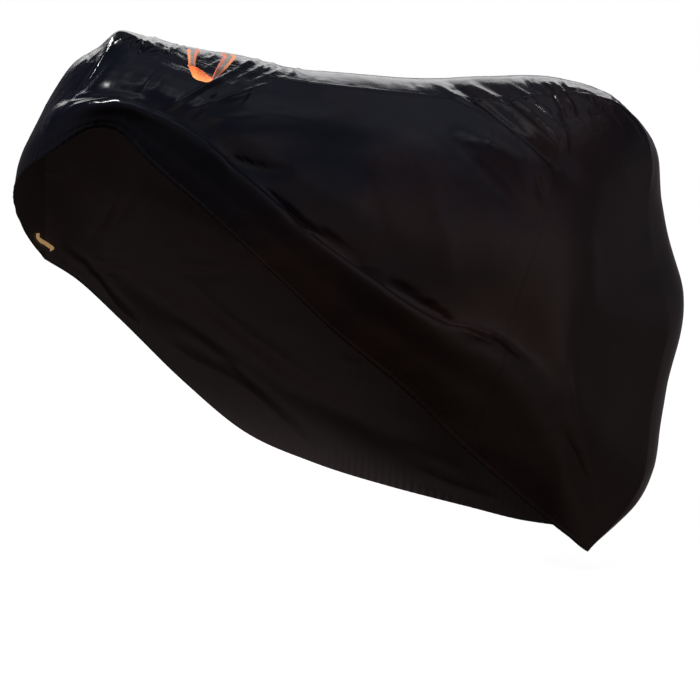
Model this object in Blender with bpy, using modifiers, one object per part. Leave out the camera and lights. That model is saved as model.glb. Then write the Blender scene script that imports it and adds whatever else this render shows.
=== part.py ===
"""A fitted bicycle cover of thin nylon, draped, with its near side lifted into one long pleat.

Metres, +Z up. x runs from the nose (-) to the tail (+), and the near side is at -y. The tables give heights above
the ground; the origin of the finished model is the point under the top cloth that carries the cover.
"""
import bisect
import math

import bmesh
import bpy
from mathutils import Vector

# ---- driving dimensions ----------------------------------------------------------------------------------------
THICKNESS = 0.0015
SEAM_GAP = 0.0012  # between the middle surfaces of two panels at a seam
REST_HEIGHT = 1.286  # the carrying point under the top cloth, above the ground

# The gusset, one strip from the nose hem over the top to the tail hem. x, z: its crown line in the middle plane.
# near, far: distance of each seam from that plane. sink: how far the seams lie inside the crown. slide: how far a
# seam point is shifted along the strip, which slants the nose hem.
NOSE_COLUMNS = ("x", "z", "near", "near_sink", "near_slide", "far", "far_sink", "far_slide")
GUSSET_NOSE = (
    (-0.850, 1.010, 0.200, 0.040, 0.118, 0.240, 0.104, -0.158),
    (-0.837, 1.075, 0.210, 0.027, 0.103, 0.215, 0.098, -0.100),
    (-0.804, 1.155, 0.213, 0.016, 0.069, 0.200, 0.063, -0.053),
    (-0.752, 1.250, 0.190, 0.036, 0.021, 0.190, 0.046, -0.030),
    (-0.695, 1.322, 0.170, 0.036, -0.008, 0.175, 0.037, -0.006),
    (-0.645, 1.352, 0.160, 0.012, -0.012, 0.165, 0.027, 0.000),
    (-0.600, 1.384, 0.150, -0.004, -0.011, 0.155, 0.018, 0.000),
)
STRIP_COLUMNS = ("x", "z", "near", "far", "sink")
GUSSET_TOP = (
    (-0.540, 1.377, 0.152, 0.156, 0.018),
    (-0.435, 1.351, 0.158, 0.160, 0.034),
    (-0.325, 1.336, 0.155, 0.160, 0.038),
    (-0.199, 1.306, 0.155, 0.160, 0.030),
    (-0.053, 1.292, 0.155, 0.160, 0.034),
    (0.120, 1.280, 0.157, 0.160, 0.038),
    (0.300, 1.284, 0.162, 0.162, 0.045),
    (0.470, 1.281, 0.165, 0.165, 0.036),
    (0.580, 1.249, 0.165, 0.165, 0.030),
)
GUSSET_TAIL = (
    (0.672, 1.190, 0.166, 0.168, 0.048),
    (0.734, 1.110, 0.170, 0.170, 0.080),
    (0.757, 0.990, 0.172, 0.172, 0.105),
    (0.788, 0.870, 0.175, 0.175, 0.118),
    (0.828, 0.750, 0.180, 0.178, 0.120),
    (0.831, 0.650, 0.182, 0.180, 0.112),
    (0.806, 0.550, 0.180, 0.180, 0.106),
    (0.788, 0.440, 0.175, 0.175, 0.102),
    (0.780, 0.330, 0.166, 0.165, 0.096),
    (0.752, 0.225, 0.150, 0.148, 0.080),
    (0.678, 0.136, 0.128, 0.124, 0.052),
    (0.575, 0.050, 0.105, 0.105, 0.026),
)
PEAK_ROW = len(GUSSET_NOSE) - 1  # where the nose turns into the top
SHOULDER_ROW = PEAK_ROW + len(GUSSET_TOP)  # where the top turns into the tail

# Sections of the near side, nose to tail. top: share of the way along the top seam. The ridge is the pleat's edge.
# tuck: how far the crevice above the ridge goes in. lift: how far the crevice lies above the ridge. belly: how far
# the cloth between seam and crevice bows out.
NEAR_COLUMNS = ("top", "ridge_x", "ridge_y", "ridge_z", "hem_x", "hem_y", "hem_z", "tuck", "lift", "belly")
NEAR_SECTIONS = (
    (0.03, -0.690, -0.300, 1.234, -0.691, -0.285, 1.183, 0.022, 0.010, 0.020),
    (0.08, -0.630, -0.320, 1.242, -0.642, -0.300, 1.183, 0.036, 0.002, 0.028),
    (0.16, -0.564, -0.335, 1.219, -0.568, -0.310, 1.111, 0.046, -0.006, 0.034),
    (0.29, -0.453, -0.350, 1.154, -0.434, -0.315, 0.989, 0.058, -0.014, 0.040),
    (0.41, -0.332, -0.360, 1.056, -0.302, -0.315, 0.861, 0.070, -0.022, 0.048),
    (0.53, -0.186, -0.365, 0.925, -0.171, -0.305, 0.730, 0.078, -0.026, 0.060),
    (0.68, 0.016, -0.365, 0.784, -0.005, -0.285, 0.584, 0.070, -0.018, 0.078),
    (0.85, 0.228, -0.345, 0.672, 0.167, -0.245, 0.414, 0.022, 0.030, 0.080),
    (0.93, 0.379, -0.295, 0.500, 0.334, -0.190, 0.261, -0.030, 0.085, 0.072),
    (0.98, 0.483, -0.235, 0.346, 0.452, -0.145, 0.158, -0.034, 0.080, 0.058),
)
NEAR_SEAM_SECTION = 8  # the upright seam runs down this section, counting the nose edge as 0

# Levels of a near section, from the top seam down: its place v in the loft, the share of the nose edge and of the
# tail edge above it, and the mesh rows down to the next level.
NEAR_LEVELS = (
    ("seam", 0.00, 0.00, 0.00, 3),
    ("upper", 0.22, 0.25, 0.27, 3),
    ("lower", 0.44, 0.48, 0.54, 2),
    ("crevice", 0.56, 0.60, 0.78, 3),
    ("ridge", 0.64, 0.68, 0.85, 3),
    ("band", 0.82, 0.84, 0.93, 2),
    ("hem", 1.00, 1.00, 1.00, 0),
)

# Sections of the far side. belly and low_belly: how far the cloth bows out, high and low.
FAR_COLUMNS = ("top", "hem_x", "hem_y", "hem_z", "belly", "low_belly")
FAR_SECTIONS = (
    (0.06, -0.708, 0.285, 0.780, 0.050, 0.040),
    (0.14, -0.593, 0.315, 0.660, 0.070, 0.050),
    (0.28, -0.431, 0.325, 0.483, 0.080, 0.060),
    (0.42, -0.266, 0.325, 0.331, 0.085, 0.070),
    (0.58, -0.082, 0.315, 0.236, 0.090, 0.080),
    (0.76, 0.137, 0.280, 0.158, 0.100, 0.095),
    (0.88, 0.346, 0.220, 0.102, 0.100, 0.100),
    (0.95, 0.470, 0.150, 0.078, 0.080, 0.090),
)
FAR_SEAM_SECTION = 6
FAR_LEVELS = (
    ("seam", 0.00, 0.00, 0.00, 4),
    ("upper", 0.30, 0.30, 0.30, 4),
    ("lower", 0.62, 0.62, 0.62, 5),
    ("low", 0.86, 0.86, 0.86, 3),
    ("hem", 1.00, 1.00, 1.00, 0),
)

FRONT_COLUMNS, REAR_COLUMNS = 30, 12  # mesh columns of a front and of a rear panel
GUSSET_STRIPS = 6  # mesh strips across the gusset
EASE = 5.0  # how quickly an edge's correction fades into the panel

# Main soft folds of the two sides, seen from the side: start and end of the crease, how far it stands out (+) or
# lies in (-), and the width over which it fades.
FOLD_COLUMNS = ("x1", "z1", "x2", "z2", "height", "width")
NEAR_FOLDS = (
    (-0.47, 1.17, -0.22, 1.28, -0.012, 0.022),
    (-0.45, 1.15, -0.05, 1.23, 0.010, 0.026),
    (-0.41, 1.11, 0.05, 1.16, -0.008, 0.026),
    (0.12, 1.22, 0.34, 1.06, 0.012, 0.030),
    (0.06, 1.21, 0.28, 0.98, -0.010, 0.030),
    (0.22, 1.21, 0.42, 1.04, -0.010, 0.028),
)
FAR_FOLDS = (
    (-0.62, 0.80, -0.20, 0.48, 0.014, 0.036),
    (-0.20, 0.48, 0.20, 0.26, 0.012, 0.036),
    (-0.55, 0.98, 0.05, 0.70, -0.012, 0.045),
    (0.10, 1.10, 0.40, 0.60, 0.014, 0.050),
    (-0.30, 1.14, -0.10, 0.82, -0.010, 0.040),
)

# The webbing loops, each by its two edges. The handle is sewn down on the top at both ends and hangs in front of the
# near side: folded over at its left corner, so its back shows below, and twisted back at its right corner. The hem
# loop bridges the far seam on the inside, just above the nose hem.
TAPE_THICKNESS = 0.002
TAPE_COLUMNS = ("x", "y", "z", "other_x", "other_y", "other_z")
HANDLE_STEPS, HEM_LOOP_STEPS = 3, 2  # mesh rows between two rows of a table
HANDLE_EDGES = (
    (-0.455, -0.066, 1.3515, -0.425, -0.066, 1.3470),
    (-0.456, -0.098, 1.3455, -0.426, -0.098, 1.3405),
    (-0.460, -0.136, 1.3400, -0.434, -0.122, 1.3400),
    (-0.465, -0.184, 1.3290, -0.444, -0.163, 1.3300),
    (-0.468, -0.215, 1.3210, -0.450, -0.189, 1.3190),
    (-0.471, -0.240, 1.3160, -0.455, -0.216, 1.3070),
    (-0.471, -0.254, 1.3130, -0.464, -0.256, 1.2890),
    (-0.460, -0.255, 1.3110, -0.458, -0.262, 1.2840),
    (-0.444, -0.248, 1.3025, -0.448, -0.266, 1.2805),
    (-0.432, -0.242, 1.2940, -0.437, -0.266, 1.2780),
    (-0.421, -0.235, 1.2860, -0.427, -0.264, 1.2810),
    (-0.410, -0.222, 1.2890, -0.420, -0.251, 1.2910),
    (-0.396, -0.204, 1.2960, -0.411, -0.230, 1.3030),
    (-0.375, -0.162, 1.3080, -0.398, -0.182, 1.3150),
    (-0.355, -0.120, 1.3215, -0.382, -0.132, 1.3280),
    (-0.344, -0.094, 1.3275, -0.373, -0.092, 1.3330),
    (-0.343, -0.060, 1.3350, -0.373, -0.060, 1.3405),
)
HEM_LOOP_EDGES = (
    (-0.791, 0.1900, 0.9070, -0.798, 0.1825, 0.9080),
    (-0.792, 0.1895, 0.8990, -0.799, 0.1835, 0.8980),
    (-0.787, 0.1955, 0.8930, -0.793, 0.1905, 0.8870),
    (-0.774, 0.2170, 0.8820, -0.780, 0.2130, 0.8750),
    (-0.762, 0.2330, 0.8710, -0.769, 0.2320, 0.8640),
    (-0.756, 0.2415, 0.8640, -0.765, 0.2385, 0.8600),
    (-0.757, 0.2427, 0.8590, -0.766, 0.2387, 0.8550),
)

COLOURS = {  # base colour, roughness
    "nylon": ((0.010, 0.010, 0.012), 0.42),
    "webbing": ((0.75, 0.25, 0.07), 0.70),
}


# ---- curves and lofts ------------------------------------------------------------------------------------------
def mix(a, b, share):
    """The value or vector a share of the way from a to b."""
    return a * (1.0 - share) + b * share


def through(knots, values, at):
    """A smooth curve through values at their knots, read at one place."""
    last = len(knots) - 2
    i = min(max(bisect.bisect_right(knots, at) - 1, 0), last)

    def slope(j):
        if j == 0:
            return (values[1] - values[0]) / (knots[1] - knots[0])
        if j == last + 1:
            return (values[-1] - values[-2]) / (knots[-1] - knots[-2])
        before = (values[j] - values[j - 1]) / (knots[j] - knots[j - 1])
        after = (values[j + 1] - values[j]) / (knots[j + 1] - knots[j])
        return mix(before, after, (knots[j] - knots[j - 1]) / (knots[j + 1] - knots[j - 1]))

    span = knots[i + 1] - knots[i]
    s = (at - knots[i]) / span
    rise = values[i + 1] - values[i]
    bend_in, bend_out = slope(i) * span - rise, rise - slope(i + 1) * span
    return values[i] + rise * s + (bend_in * (1.0 - s) + bend_out * s) * (s * (1.0 - s))


def path_knots(points):
    """Knots from 0 to 1 by the distance along the points."""
    lengths = [0.0]
    for a, b in zip(points, points[1:]):
        lengths.append(lengths[-1] + (b - a).length)
    return [length / lengths[-1] for length in lengths]


# ---- the gusset's three lines ----------------------------------------------------------------------------------
def gusset_rows():
    """Every row of the gusset as a dictionary, nose to tail, with a sink and a slide for each seam."""
    rows = [dict(zip(NOSE_COLUMNS, row)) for row in GUSSET_NOSE]
    for row in GUSSET_TOP + GUSSET_TAIL:
        values = dict(zip(STRIP_COLUMNS, row))
        even = {"near_sink": values["sink"], "far_sink": values["sink"], "near_slide": 0.0, "far_slide": 0.0}
        rows.append(values | even)
    return rows


GUSSET_ROWS = gusset_rows()
CROWN_POINTS = [Vector((values["x"], 0.0, values["z"])) for values in GUSSET_ROWS]
GUSSET_KNOTS = path_knots(CROWN_POINTS)
PEAK, SHOULDER = GUSSET_KNOTS[PEAK_ROW], GUSSET_KNOTS[SHOULDER_ROW]


def seam_points(side):
    """Points of the gusset's near or far seam, one for each of its rows."""
    sign = -1.0 if side == "near" else 1.0
    points = []
    for i, values in enumerate(GUSSET_ROWS):
        before = CROWN_POINTS[max(i - 1, 0)]
        after = CROWN_POINTS[min(i + 1, len(CROWN_POINTS) - 1)]
        along = (after - before).normalized()
        inward = along.cross(Vector((0.0, -1.0, 0.0)))
        offset = inward * values[side + "_sink"] + along * values[side + "_slide"]
        points.append(CROWN_POINTS[i] + offset + Vector((0.0, sign * values[side], 0.0)))
    return points


SEAM_POINTS = {"near": seam_points("near"), "far": seam_points("far")}


def crown(t):
    """The gusset's crown line, t from 0 at the nose hem to 1 at the tail hem."""
    return through(GUSSET_KNOTS, CROWN_POINTS, t)


def seam(side, t):
    """The gusset's near or far seam line."""
    return through(GUSSET_KNOTS, SEAM_POINTS[side], t)


# ---- the two sides ---------------------------------------------------------------------------------------------
def near_section(values, top):
    """The level points of one near section, from the top seam to the hem."""
    ridge = Vector((values["ridge_x"], values["ridge_y"], values["ridge_z"]))
    hem = Vector((values["hem_x"], values["hem_y"], values["hem_z"]))
    up = (top - ridge).normalized()
    crevice = ridge + up * values["lift"] + Vector((0.0, values["tuck"], 0.0))
    out = Vector((0.0, -values["belly"], 0.25 * values["belly"]))
    upper = mix(top, crevice, 0.34) + out
    lower = mix(top, crevice, 0.70) + out * 0.8
    band = mix(ridge, hem, 0.5) + Vector((0.0, -0.006, -0.004))
    return [top, upper, lower, crevice, ridge, band, hem]


def far_section(values, top):
    """The level points of one far section, from the top seam to the hem."""
    hem = Vector((values["hem_x"], values["hem_y"], values["hem_z"]))
    upper = mix(top, hem, 0.30) + Vector((0.0, values["belly"], 0.0))
    lower = mix(top, hem, 0.62) + Vector((0.0, 0.5 * (values["belly"] + values["low_belly"]), 0.0))
    low = mix(top, hem, 0.86) + Vector((0.0, 0.6 * values["low_belly"], 0.0))
    return [top, upper, lower, low, hem]


class Side:
    """One side of the cover as a loft: u runs from the nose edge to the tail edge, v from the top seam to the hem."""

    def __init__(self, name, sections, names, levels, make_section):
        self.name = name
        self.v_knots = [level[1] for level in levels]
        self.nose_shares = [level[2] for level in levels]
        self.tail_shares = [level[3] for level in levels]
        rows = [dict(zip(names, row)) for row in sections]
        self.tops = [0.0] + [values["top"] for values in rows] + [1.0]
        nose = [self.nose_edge(v) for v in self.v_knots]
        tail = [self.tail_edge(v) for v in self.v_knots]
        inner = [make_section(values, self.top_edge_at(values["top"])) for values in rows]
        self.sections = [nose] + inner + [tail]
        middle = [mix(section[0], section[-1], 0.5) for section in self.sections]
        self.u_knots = path_knots(middle)
        self.v_rows = self.row_places(levels)

    @staticmethod
    def row_places(levels):
        """The v of every mesh row."""
        places = []
        for level, following in zip(levels, levels[1:]):
            places += [mix(level[1], following[1], i / level[4]) for i in range(level[4])]
        return places + [1.0]

    def top_edge_at(self, share):
        return seam(self.name, mix(PEAK, SHOULDER, share))

    def top_t(self, u):
        """The gusset's t at the top edge of column u."""
        return mix(PEAK, SHOULDER, through(self.u_knots, self.tops, u))

    def nose_t(self, v):
        return PEAK * (1.0 - through(self.v_knots, self.nose_shares, v))

    def tail_t(self, v):
        return mix(SHOULDER, 1.0, through(self.v_knots, self.tail_shares, v))

    def nose_edge(self, v):
        return seam(self.name, self.nose_t(v))

    def tail_edge(self, v):
        return seam(self.name, self.tail_t(v))

    def loft(self, u, v):
        """The bare loft, before its edges are drawn onto the seams."""
        section = [through(self.u_knots, [s[j] for s in self.sections], u) for j in range(len(self.v_knots))]
        return through(self.v_knots, section, v)

    def edge_pull(self):
        """Differences between the loft and the three seam edges, as functions of v, v and u."""
        return (
            lambda v: self.nose_edge(v) - self.loft(0.0, v),
            lambda v: self.tail_edge(v) - self.loft(1.0, v),
            lambda u: seam(self.name, self.top_t(u)) - self.loft(u, 0.0),
        )

    def surface(self, u_places):
        """Rows of points over the given columns, with the edges on the gusset's seams."""
        at_nose, at_tail, at_top = self.edge_pull()
        nose = [at_nose(v) for v in self.v_rows]
        tail = [at_tail(v) for v in self.v_rows]
        top = [at_top(u) for u in u_places]
        grid = []
        for j, v in enumerate(self.v_rows):
            row = []
            for i, u in enumerate(u_places):
                point = self.loft(u, v)
                point += nose[j] * math.exp(-EASE * EASE * u * u)
                point += tail[j] * math.exp(-EASE * EASE * (1.0 - u) ** 2)
                point += top[i] * math.exp(-EASE * v)
                row.append(point)
            grid.append(row)
        return grid


def fold_height(point, folds):
    """How far the folds push a point out, by its distance from each crease seen from the side."""
    total = 0.0
    for row in folds:
        fold = dict(zip(FOLD_COLUMNS, row))
        start, end = Vector((fold["x1"], fold["z1"])), Vector((fold["x2"], fold["z2"]))
        offset, run = Vector((point.x, point.z)) - start, end - start
        share = min(max(offset.dot(run) / run.length_squared, 0.0), 1.0)
        distance = (offset - run * share).length
        total += fold["height"] * math.exp(-((distance / fold["width"]) ** 2)) * math.sin(math.pi * (0.12 + 0.76 * share))
    return total


NEAR_SIDE = Side("near", NEAR_SECTIONS, NEAR_COLUMNS, NEAR_LEVELS, near_section)
FAR_SIDE = Side("far", FAR_SECTIONS, FAR_COLUMNS, FAR_LEVELS, far_section)


# ---- making solids ---------------------------------------------------------------------------------------------
def material(name):
    """The Principled material of one finish."""
    made = bpy.data.materials.get(name)
    if made is None:
        made = bpy.data.materials.new(name)
        made.use_nodes = True
        shader = made.node_tree.nodes["Principled BSDF"]
        colour, roughness = COLOURS[name]
        shader.inputs["Base Color"].default_value = (*colour, 1.0)
        shader.inputs["Roughness"].default_value = roughness
    return made


def inset(grid, edges):
    """Draw the named edges of a grid in by half a seam's gap, square to the edge."""
    last = len(grid[0]) - 1
    lines = {
        "top": ([(0, i) for i in range(last + 1)], (1, 0)),
        "left": ([(j, 0) for j in range(len(grid))], (0, 1)),
        "right": ([(j, last) for j in range(len(grid))], (0, -1)),
    }
    for edge in edges:
        places, (down, across) = lines[edge]
        line = [grid[j][i].copy() for j, i in places]
        for k, (j, i) in enumerate(places):
            along = (line[min(k + 1, len(line) - 1)] - line[max(k - 1, 0)]).normalized()
            inward = grid[j + down][i + across] - line[k]
            inward -= along * inward.dot(along)
            grid[j][i] = line[k] + inward.normalized() * (0.5 * SEAM_GAP)


def cloth_sheet(name, grid, finish, collection, outside_first=True):
    """A sheet of cloth over a grid of points: a plane grid moved into shape, then thickened."""
    rows, columns = len(grid), len(grid[0])
    bm = bmesh.new()
    bmesh.ops.create_grid(bm, x_segments=columns - 1, y_segments=rows - 1, size=1.0)
    for vertex in bm.verts:
        i = round((vertex.co.x + 1.0) / 2.0 * (columns - 1))
        j = round((1.0 - vertex.co.y) / 2.0 * (rows - 1))
        vertex.co = grid[j][i]
    if not outside_first:
        bmesh.ops.reverse_faces(bm, faces=bm.faces)
    mesh = bpy.data.meshes.new(name)
    bm.to_mesh(mesh)
    bm.free()
    mesh.shade_smooth()
    mesh.materials.append(material(finish))
    sheet = bpy.data.objects.new(name, mesh)
    collection.objects.link(sheet)
    solidify = sheet.modifiers.new("thickness", "SOLIDIFY")
    solidify.thickness = THICKNESS
    solidify.offset = 0.0
    solidify.use_even_offset = True
    return sheet


def side_panels(side, seam_section, folds, outward, collection):
    """The front and the rear panel of one side."""
    u_seam = side.u_knots[seam_section]
    spans = {"front": (0.0, u_seam, FRONT_COLUMNS), "rear": (u_seam, 1.0, REAR_COLUMNS)}
    panels = []
    for part, (start, end, count) in spans.items():
        u_places = [mix(start, end, i / count) for i in range(count + 1)]
        grid = side.surface(u_places)
        for j, row in enumerate(grid):
            fade = min(1.0, 6.0 * side.v_rows[j])
            for point in row:
                point.y += outward * fade * fold_height(point, folds)
        inset(grid, ("top", "left", "right"))
        name = f"{side.name}_{part}_panel"
        panels.append(cloth_sheet(name, grid, "nylon", collection, outside_first=outward < 0))
    return panels


def column_places():
    """The u shares of every mesh column on the two sides, in one list for each side."""
    places = {}
    for side, seam_section in ((NEAR_SIDE, NEAR_SEAM_SECTION), (FAR_SIDE, FAR_SEAM_SECTION)):
        u_seam = side.u_knots[seam_section]
        front = [mix(0.0, u_seam, i / FRONT_COLUMNS) for i in range(FRONT_COLUMNS)]
        rear = [mix(u_seam, 1.0, i / REAR_COLUMNS) for i in range(REAR_COLUMNS + 1)]
        places[side.name] = front + rear
    return places


def gusset_stations():
    """Pairs of near and far t along the gusset, one for each mesh row or column of the sides that meets it."""
    places = column_places()
    nose = [(NEAR_SIDE.nose_t(a), FAR_SIDE.nose_t(b)) for a, b in zip(NEAR_SIDE.v_rows, FAR_SIDE.v_rows)]
    top = [(NEAR_SIDE.top_t(a), FAR_SIDE.top_t(b)) for a, b in zip(places["near"], places["far"])]
    tail = [(NEAR_SIDE.tail_t(a), FAR_SIDE.tail_t(b)) for a, b in zip(NEAR_SIDE.v_rows, FAR_SIDE.v_rows)]
    return nose[:0:-1] + top[:-1] + tail


def gusset_strip(collection):
    """The strip between the two sides, arched over its crown line."""
    grid = []
    for near_t, far_t in gusset_stations():
        near, middle, far = seam("near", near_t), crown(0.5 * (near_t + far_t)), seam("far", far_t)
        row = []
        for i in range(GUSSET_STRIPS + 1):
            w = i / GUSSET_STRIPS
            row.append(near * (1 - w) * (1 - 2 * w) + middle * 4 * w * (1 - w) + far * w * (2 * w - 1))
        grid.append(row)
    inset(grid, ("left", "right"))
    return cloth_sheet("gusset", grid, "nylon", collection)


def tape(name, edges, steps, collection):
    """A webbing tape spanned between its two edges, with a number of mesh rows between two rows of its table."""
    rows = [dict(zip(TAPE_COLUMNS, row)) for row in edges]
    one = [Vector((row["x"], row["y"], row["z"])) for row in rows]
    other = [Vector((row["other_x"], row["other_y"], row["other_z"])) for row in rows]
    knots = path_knots([mix(a, b, 0.5) for a, b in zip(one, other)])
    places = [mix(a, b, i / steps) for a, b in zip(knots, knots[1:]) for i in range(steps)] + [1.0]
    grid = [[through(knots, one, t), through(knots, other, t)] for t in places]
    made = cloth_sheet(name, grid, "webbing", collection)
    made.modifiers["thickness"].thickness = TAPE_THICKNESS
    return made


# ---- the cover -------------------------------------------------------------------------------------------------
def main():
    for old in list(bpy.data.objects):
        bpy.data.objects.remove(old, do_unlink=True)
    collection = bpy.data.collections.new("bicycle_cover")
    bpy.context.scene.collection.children.link(collection)
    origin = bpy.data.objects.new("carrying_point", None)
    origin.location.z = -REST_HEIGHT
    collection.objects.link(origin)

    pieces = [gusset_strip(collection)]
    pieces += side_panels(NEAR_SIDE, NEAR_SEAM_SECTION, NEAR_FOLDS, -1.0, collection)
    pieces += side_panels(FAR_SIDE, FAR_SEAM_SECTION, FAR_FOLDS, 1.0, collection)
    pieces.append(tape("top_loop", HANDLE_EDGES, HANDLE_STEPS, collection))
    pieces.append(tape("hem_loop", HEM_LOOP_EDGES, HEM_LOOP_STEPS, collection))
    for piece in pieces:
        piece.parent = origin


main()
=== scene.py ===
# %% [markdown]
# # A fitted cover of thin nylon
# The real thing is a black hood, sewn from one long strip (the gusset) and two sides of two pieces each.
# Its near side is still lifted, so its surplus cloth lies in one long pleat, and one looks under it at the
# inside of the far side. A handle of orange webbing is sewn to the top. First the imported model is loaded:
# it fixes where each piece goes.

# %% Load the imported model
import math

import bpy
import numpy as np
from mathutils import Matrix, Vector, noise


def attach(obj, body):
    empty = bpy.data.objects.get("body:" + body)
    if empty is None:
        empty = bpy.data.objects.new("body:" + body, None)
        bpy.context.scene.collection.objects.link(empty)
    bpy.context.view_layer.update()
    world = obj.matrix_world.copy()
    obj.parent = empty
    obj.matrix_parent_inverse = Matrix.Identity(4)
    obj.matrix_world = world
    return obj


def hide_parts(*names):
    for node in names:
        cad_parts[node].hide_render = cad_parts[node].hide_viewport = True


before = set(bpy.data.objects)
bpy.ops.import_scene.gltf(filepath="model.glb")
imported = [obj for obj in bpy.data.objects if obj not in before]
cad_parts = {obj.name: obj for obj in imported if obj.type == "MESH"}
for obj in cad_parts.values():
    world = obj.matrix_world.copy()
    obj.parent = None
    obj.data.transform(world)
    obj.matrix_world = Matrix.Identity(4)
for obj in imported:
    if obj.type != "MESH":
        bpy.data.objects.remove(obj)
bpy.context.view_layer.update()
print("nodes:", ", ".join(sorted(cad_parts)))

# %% [markdown]
# ## The camera
# The photograph was taken from about two arm spans away, at the height of the handle, turned fourteen
# degrees towards the tail and tipped twelve degrees down. A 72 mm lens on a 36 mm wide sensor gives its
# narrow angle. The camera comes first, because the folds are drawn in its picture later on.

# %% Place the camera
REST_HEIGHT = 1.286  # height of the model's origin above the ground
EYE = Vector((-0.879, -3.312, 1.341 - REST_HEIGHT))
TURN, TIP = math.radians(14.0), math.radians(12.0)
LENS, SENSOR = 72.0, 36.0  # millimetres
PICTURE = 700.0  # width and height of the picture in pixels
FOCAL = LENS / SENSOR * PICTURE  # the lens's length in the picture's pixels


def add_object(name, data):
    """A new object in the scene, made of the given camera, light or mesh."""
    made = bpy.data.objects.new(name, data)
    bpy.context.scene.collection.objects.link(made)
    return made


lens = bpy.data.cameras.new("camera")
lens.lens = LENS
lens.sensor_width = SENSOR
camera = add_object("camera", lens)
camera.location = EYE
camera.rotation_euler = (math.radians(90.0) - TIP, 0.0, -TURN)
bpy.context.scene.camera = camera
print("camera at", [round(c, 3) for c in camera.location])


# %% A point's place in the picture
ahead = Vector((math.sin(TURN) * math.cos(TIP), math.cos(TURN) * math.cos(TIP), -math.sin(TIP)))
rightward = Vector((math.cos(TURN), -math.sin(TURN), 0.0))
upward = rightward.cross(ahead)


def depth_of(points):
    """How far ahead of the camera an array of points lies."""
    return (points - np.array(EYE)) @ np.array(ahead)


def in_picture(points):
    """Pixel columns and rows of an array of points, as the camera sees them."""
    offset = points - np.array(EYE)
    depth = depth_of(points)
    across = FOCAL * (offset @ np.array(rightward)) / depth
    up = FOCAL * (offset @ np.array(upward)) / depth
    return PICTURE / 2.0 + across, PICTURE / 2.0 - up


# %% [markdown]
# ## Curves
# A tailor's pattern is a few measured lines with smooth cloth between them. `through` gives that smooth
# line: a curve that passes through measured values at uneven places. It works on whole arrays, so a surface
# of fifty thousand points takes no time.

# %% Smooth curves through measured values
def through(knots, values, at):
    """Smooth curve through the values at their knots, read at many places at once."""
    knots, values, at = np.asarray(knots, float), np.asarray(values, float), np.asarray(at, float)
    tail = (1,) * (values.ndim - 1)
    gaps = np.diff(knots).reshape(-1, *tail)
    steps = np.diff(values, axis=0) / gaps
    share = gaps[:-1] / (gaps[:-1] + gaps[1:])
    inner = steps[:-1] * (1.0 - share) + steps[1:] * share
    slopes = np.concatenate([steps[:1], inner, steps[-1:]])
    i = np.clip(np.searchsorted(knots, at, side="right") - 1, 0, len(knots) - 2)
    span = (knots[i + 1] - knots[i]).reshape(-1, *tail)
    s = (at - knots[i]).reshape(-1, *tail) / span
    rise = values[i + 1] - values[i]
    bend_in, bend_out = slopes[i] * span - rise, rise - slopes[i + 1] * span
    return values[i] + rise * s + (bend_in * (1.0 - s) + bend_out * s) * (s * (1.0 - s))


def path_knots(points):
    """Knots from 0 to 1 by the distance along the points."""
    lengths = np.linalg.norm(np.diff(points, axis=0), axis=1)
    along = np.concatenate([[0.0], np.cumsum(lengths)])
    return along / along[-1]


def ease(values, low, high):
    """0 below low, 1 above high, and a smooth step between."""
    s = np.clip((np.asarray(values, float) - low) / (high - low), 0.0, 1.0)
    return s * s * (3.0 - 2.0 * s)


# %% [markdown]
# ## The gusset's lines
# The gusset is the strip from the nose hem over the top to the tail hem. Three lines give it: its crown in
# the middle plane and a seam on each side. Each row of the table is one place along it, with heights above
# the ground. near and far are the seams' distances from the middle plane, sink is how far they lie inside
# the crown, and slide shifts a seam point along the strip, which slants the nose hem.

# %% Measured rows of the gusset
NOSE_ROWS = [  # x, height, near, near sink, near slide, far, far sink, far slide
    (-0.850, 1.010, 0.200, 0.040, 0.118, 0.240, 0.104, -0.158),
    (-0.837, 1.075, 0.210, 0.027, 0.103, 0.215, 0.098, -0.100),
    (-0.804, 1.155, 0.213, 0.016, 0.069, 0.200, 0.063, -0.053),
    (-0.752, 1.250, 0.190, 0.036, 0.021, 0.190, 0.046, -0.030),
    (-0.695, 1.322, 0.170, 0.036, -0.008, 0.175, 0.037, -0.006),
    (-0.645, 1.352, 0.160, 0.012, -0.012, 0.165, 0.027, 0.000),
    (-0.600, 1.384, 0.150, -0.004, -0.011, 0.155, 0.018, 0.000),
]
TOP_ROWS = [  # x, height, near, far, sink
    (-0.540, 1.377, 0.152, 0.156, 0.018),
    (-0.435, 1.351, 0.158, 0.160, 0.034),
    (-0.325, 1.336, 0.155, 0.160, 0.038),
    (-0.199, 1.306, 0.155, 0.160, 0.030),
    (-0.053, 1.292, 0.155, 0.160, 0.034),
    (0.120, 1.280, 0.157, 0.160, 0.038),
    (0.300, 1.284, 0.162, 0.162, 0.045),
    (0.470, 1.281, 0.165, 0.165, 0.036),
    (0.580, 1.249, 0.165, 0.165, 0.030),
]
TAIL_ROWS = [  # x, height, near, far, sink
    (0.672, 1.190, 0.166, 0.168, 0.048),
    (0.734, 1.110, 0.170, 0.170, 0.080),
    (0.757, 0.990, 0.172, 0.172, 0.105),
    (0.788, 0.870, 0.175, 0.175, 0.118),
    (0.828, 0.750, 0.180, 0.178, 0.120),
    (0.831, 0.650, 0.182, 0.180, 0.112),
    (0.806, 0.550, 0.180, 0.180, 0.106),
    (0.788, 0.440, 0.175, 0.175, 0.102),
    (0.780, 0.330, 0.166, 0.165, 0.096),
    (0.752, 0.225, 0.150, 0.148, 0.080),
    (0.678, 0.136, 0.128, 0.124, 0.052),
    (0.575, 0.050, 0.105, 0.105, 0.026),
]

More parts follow.
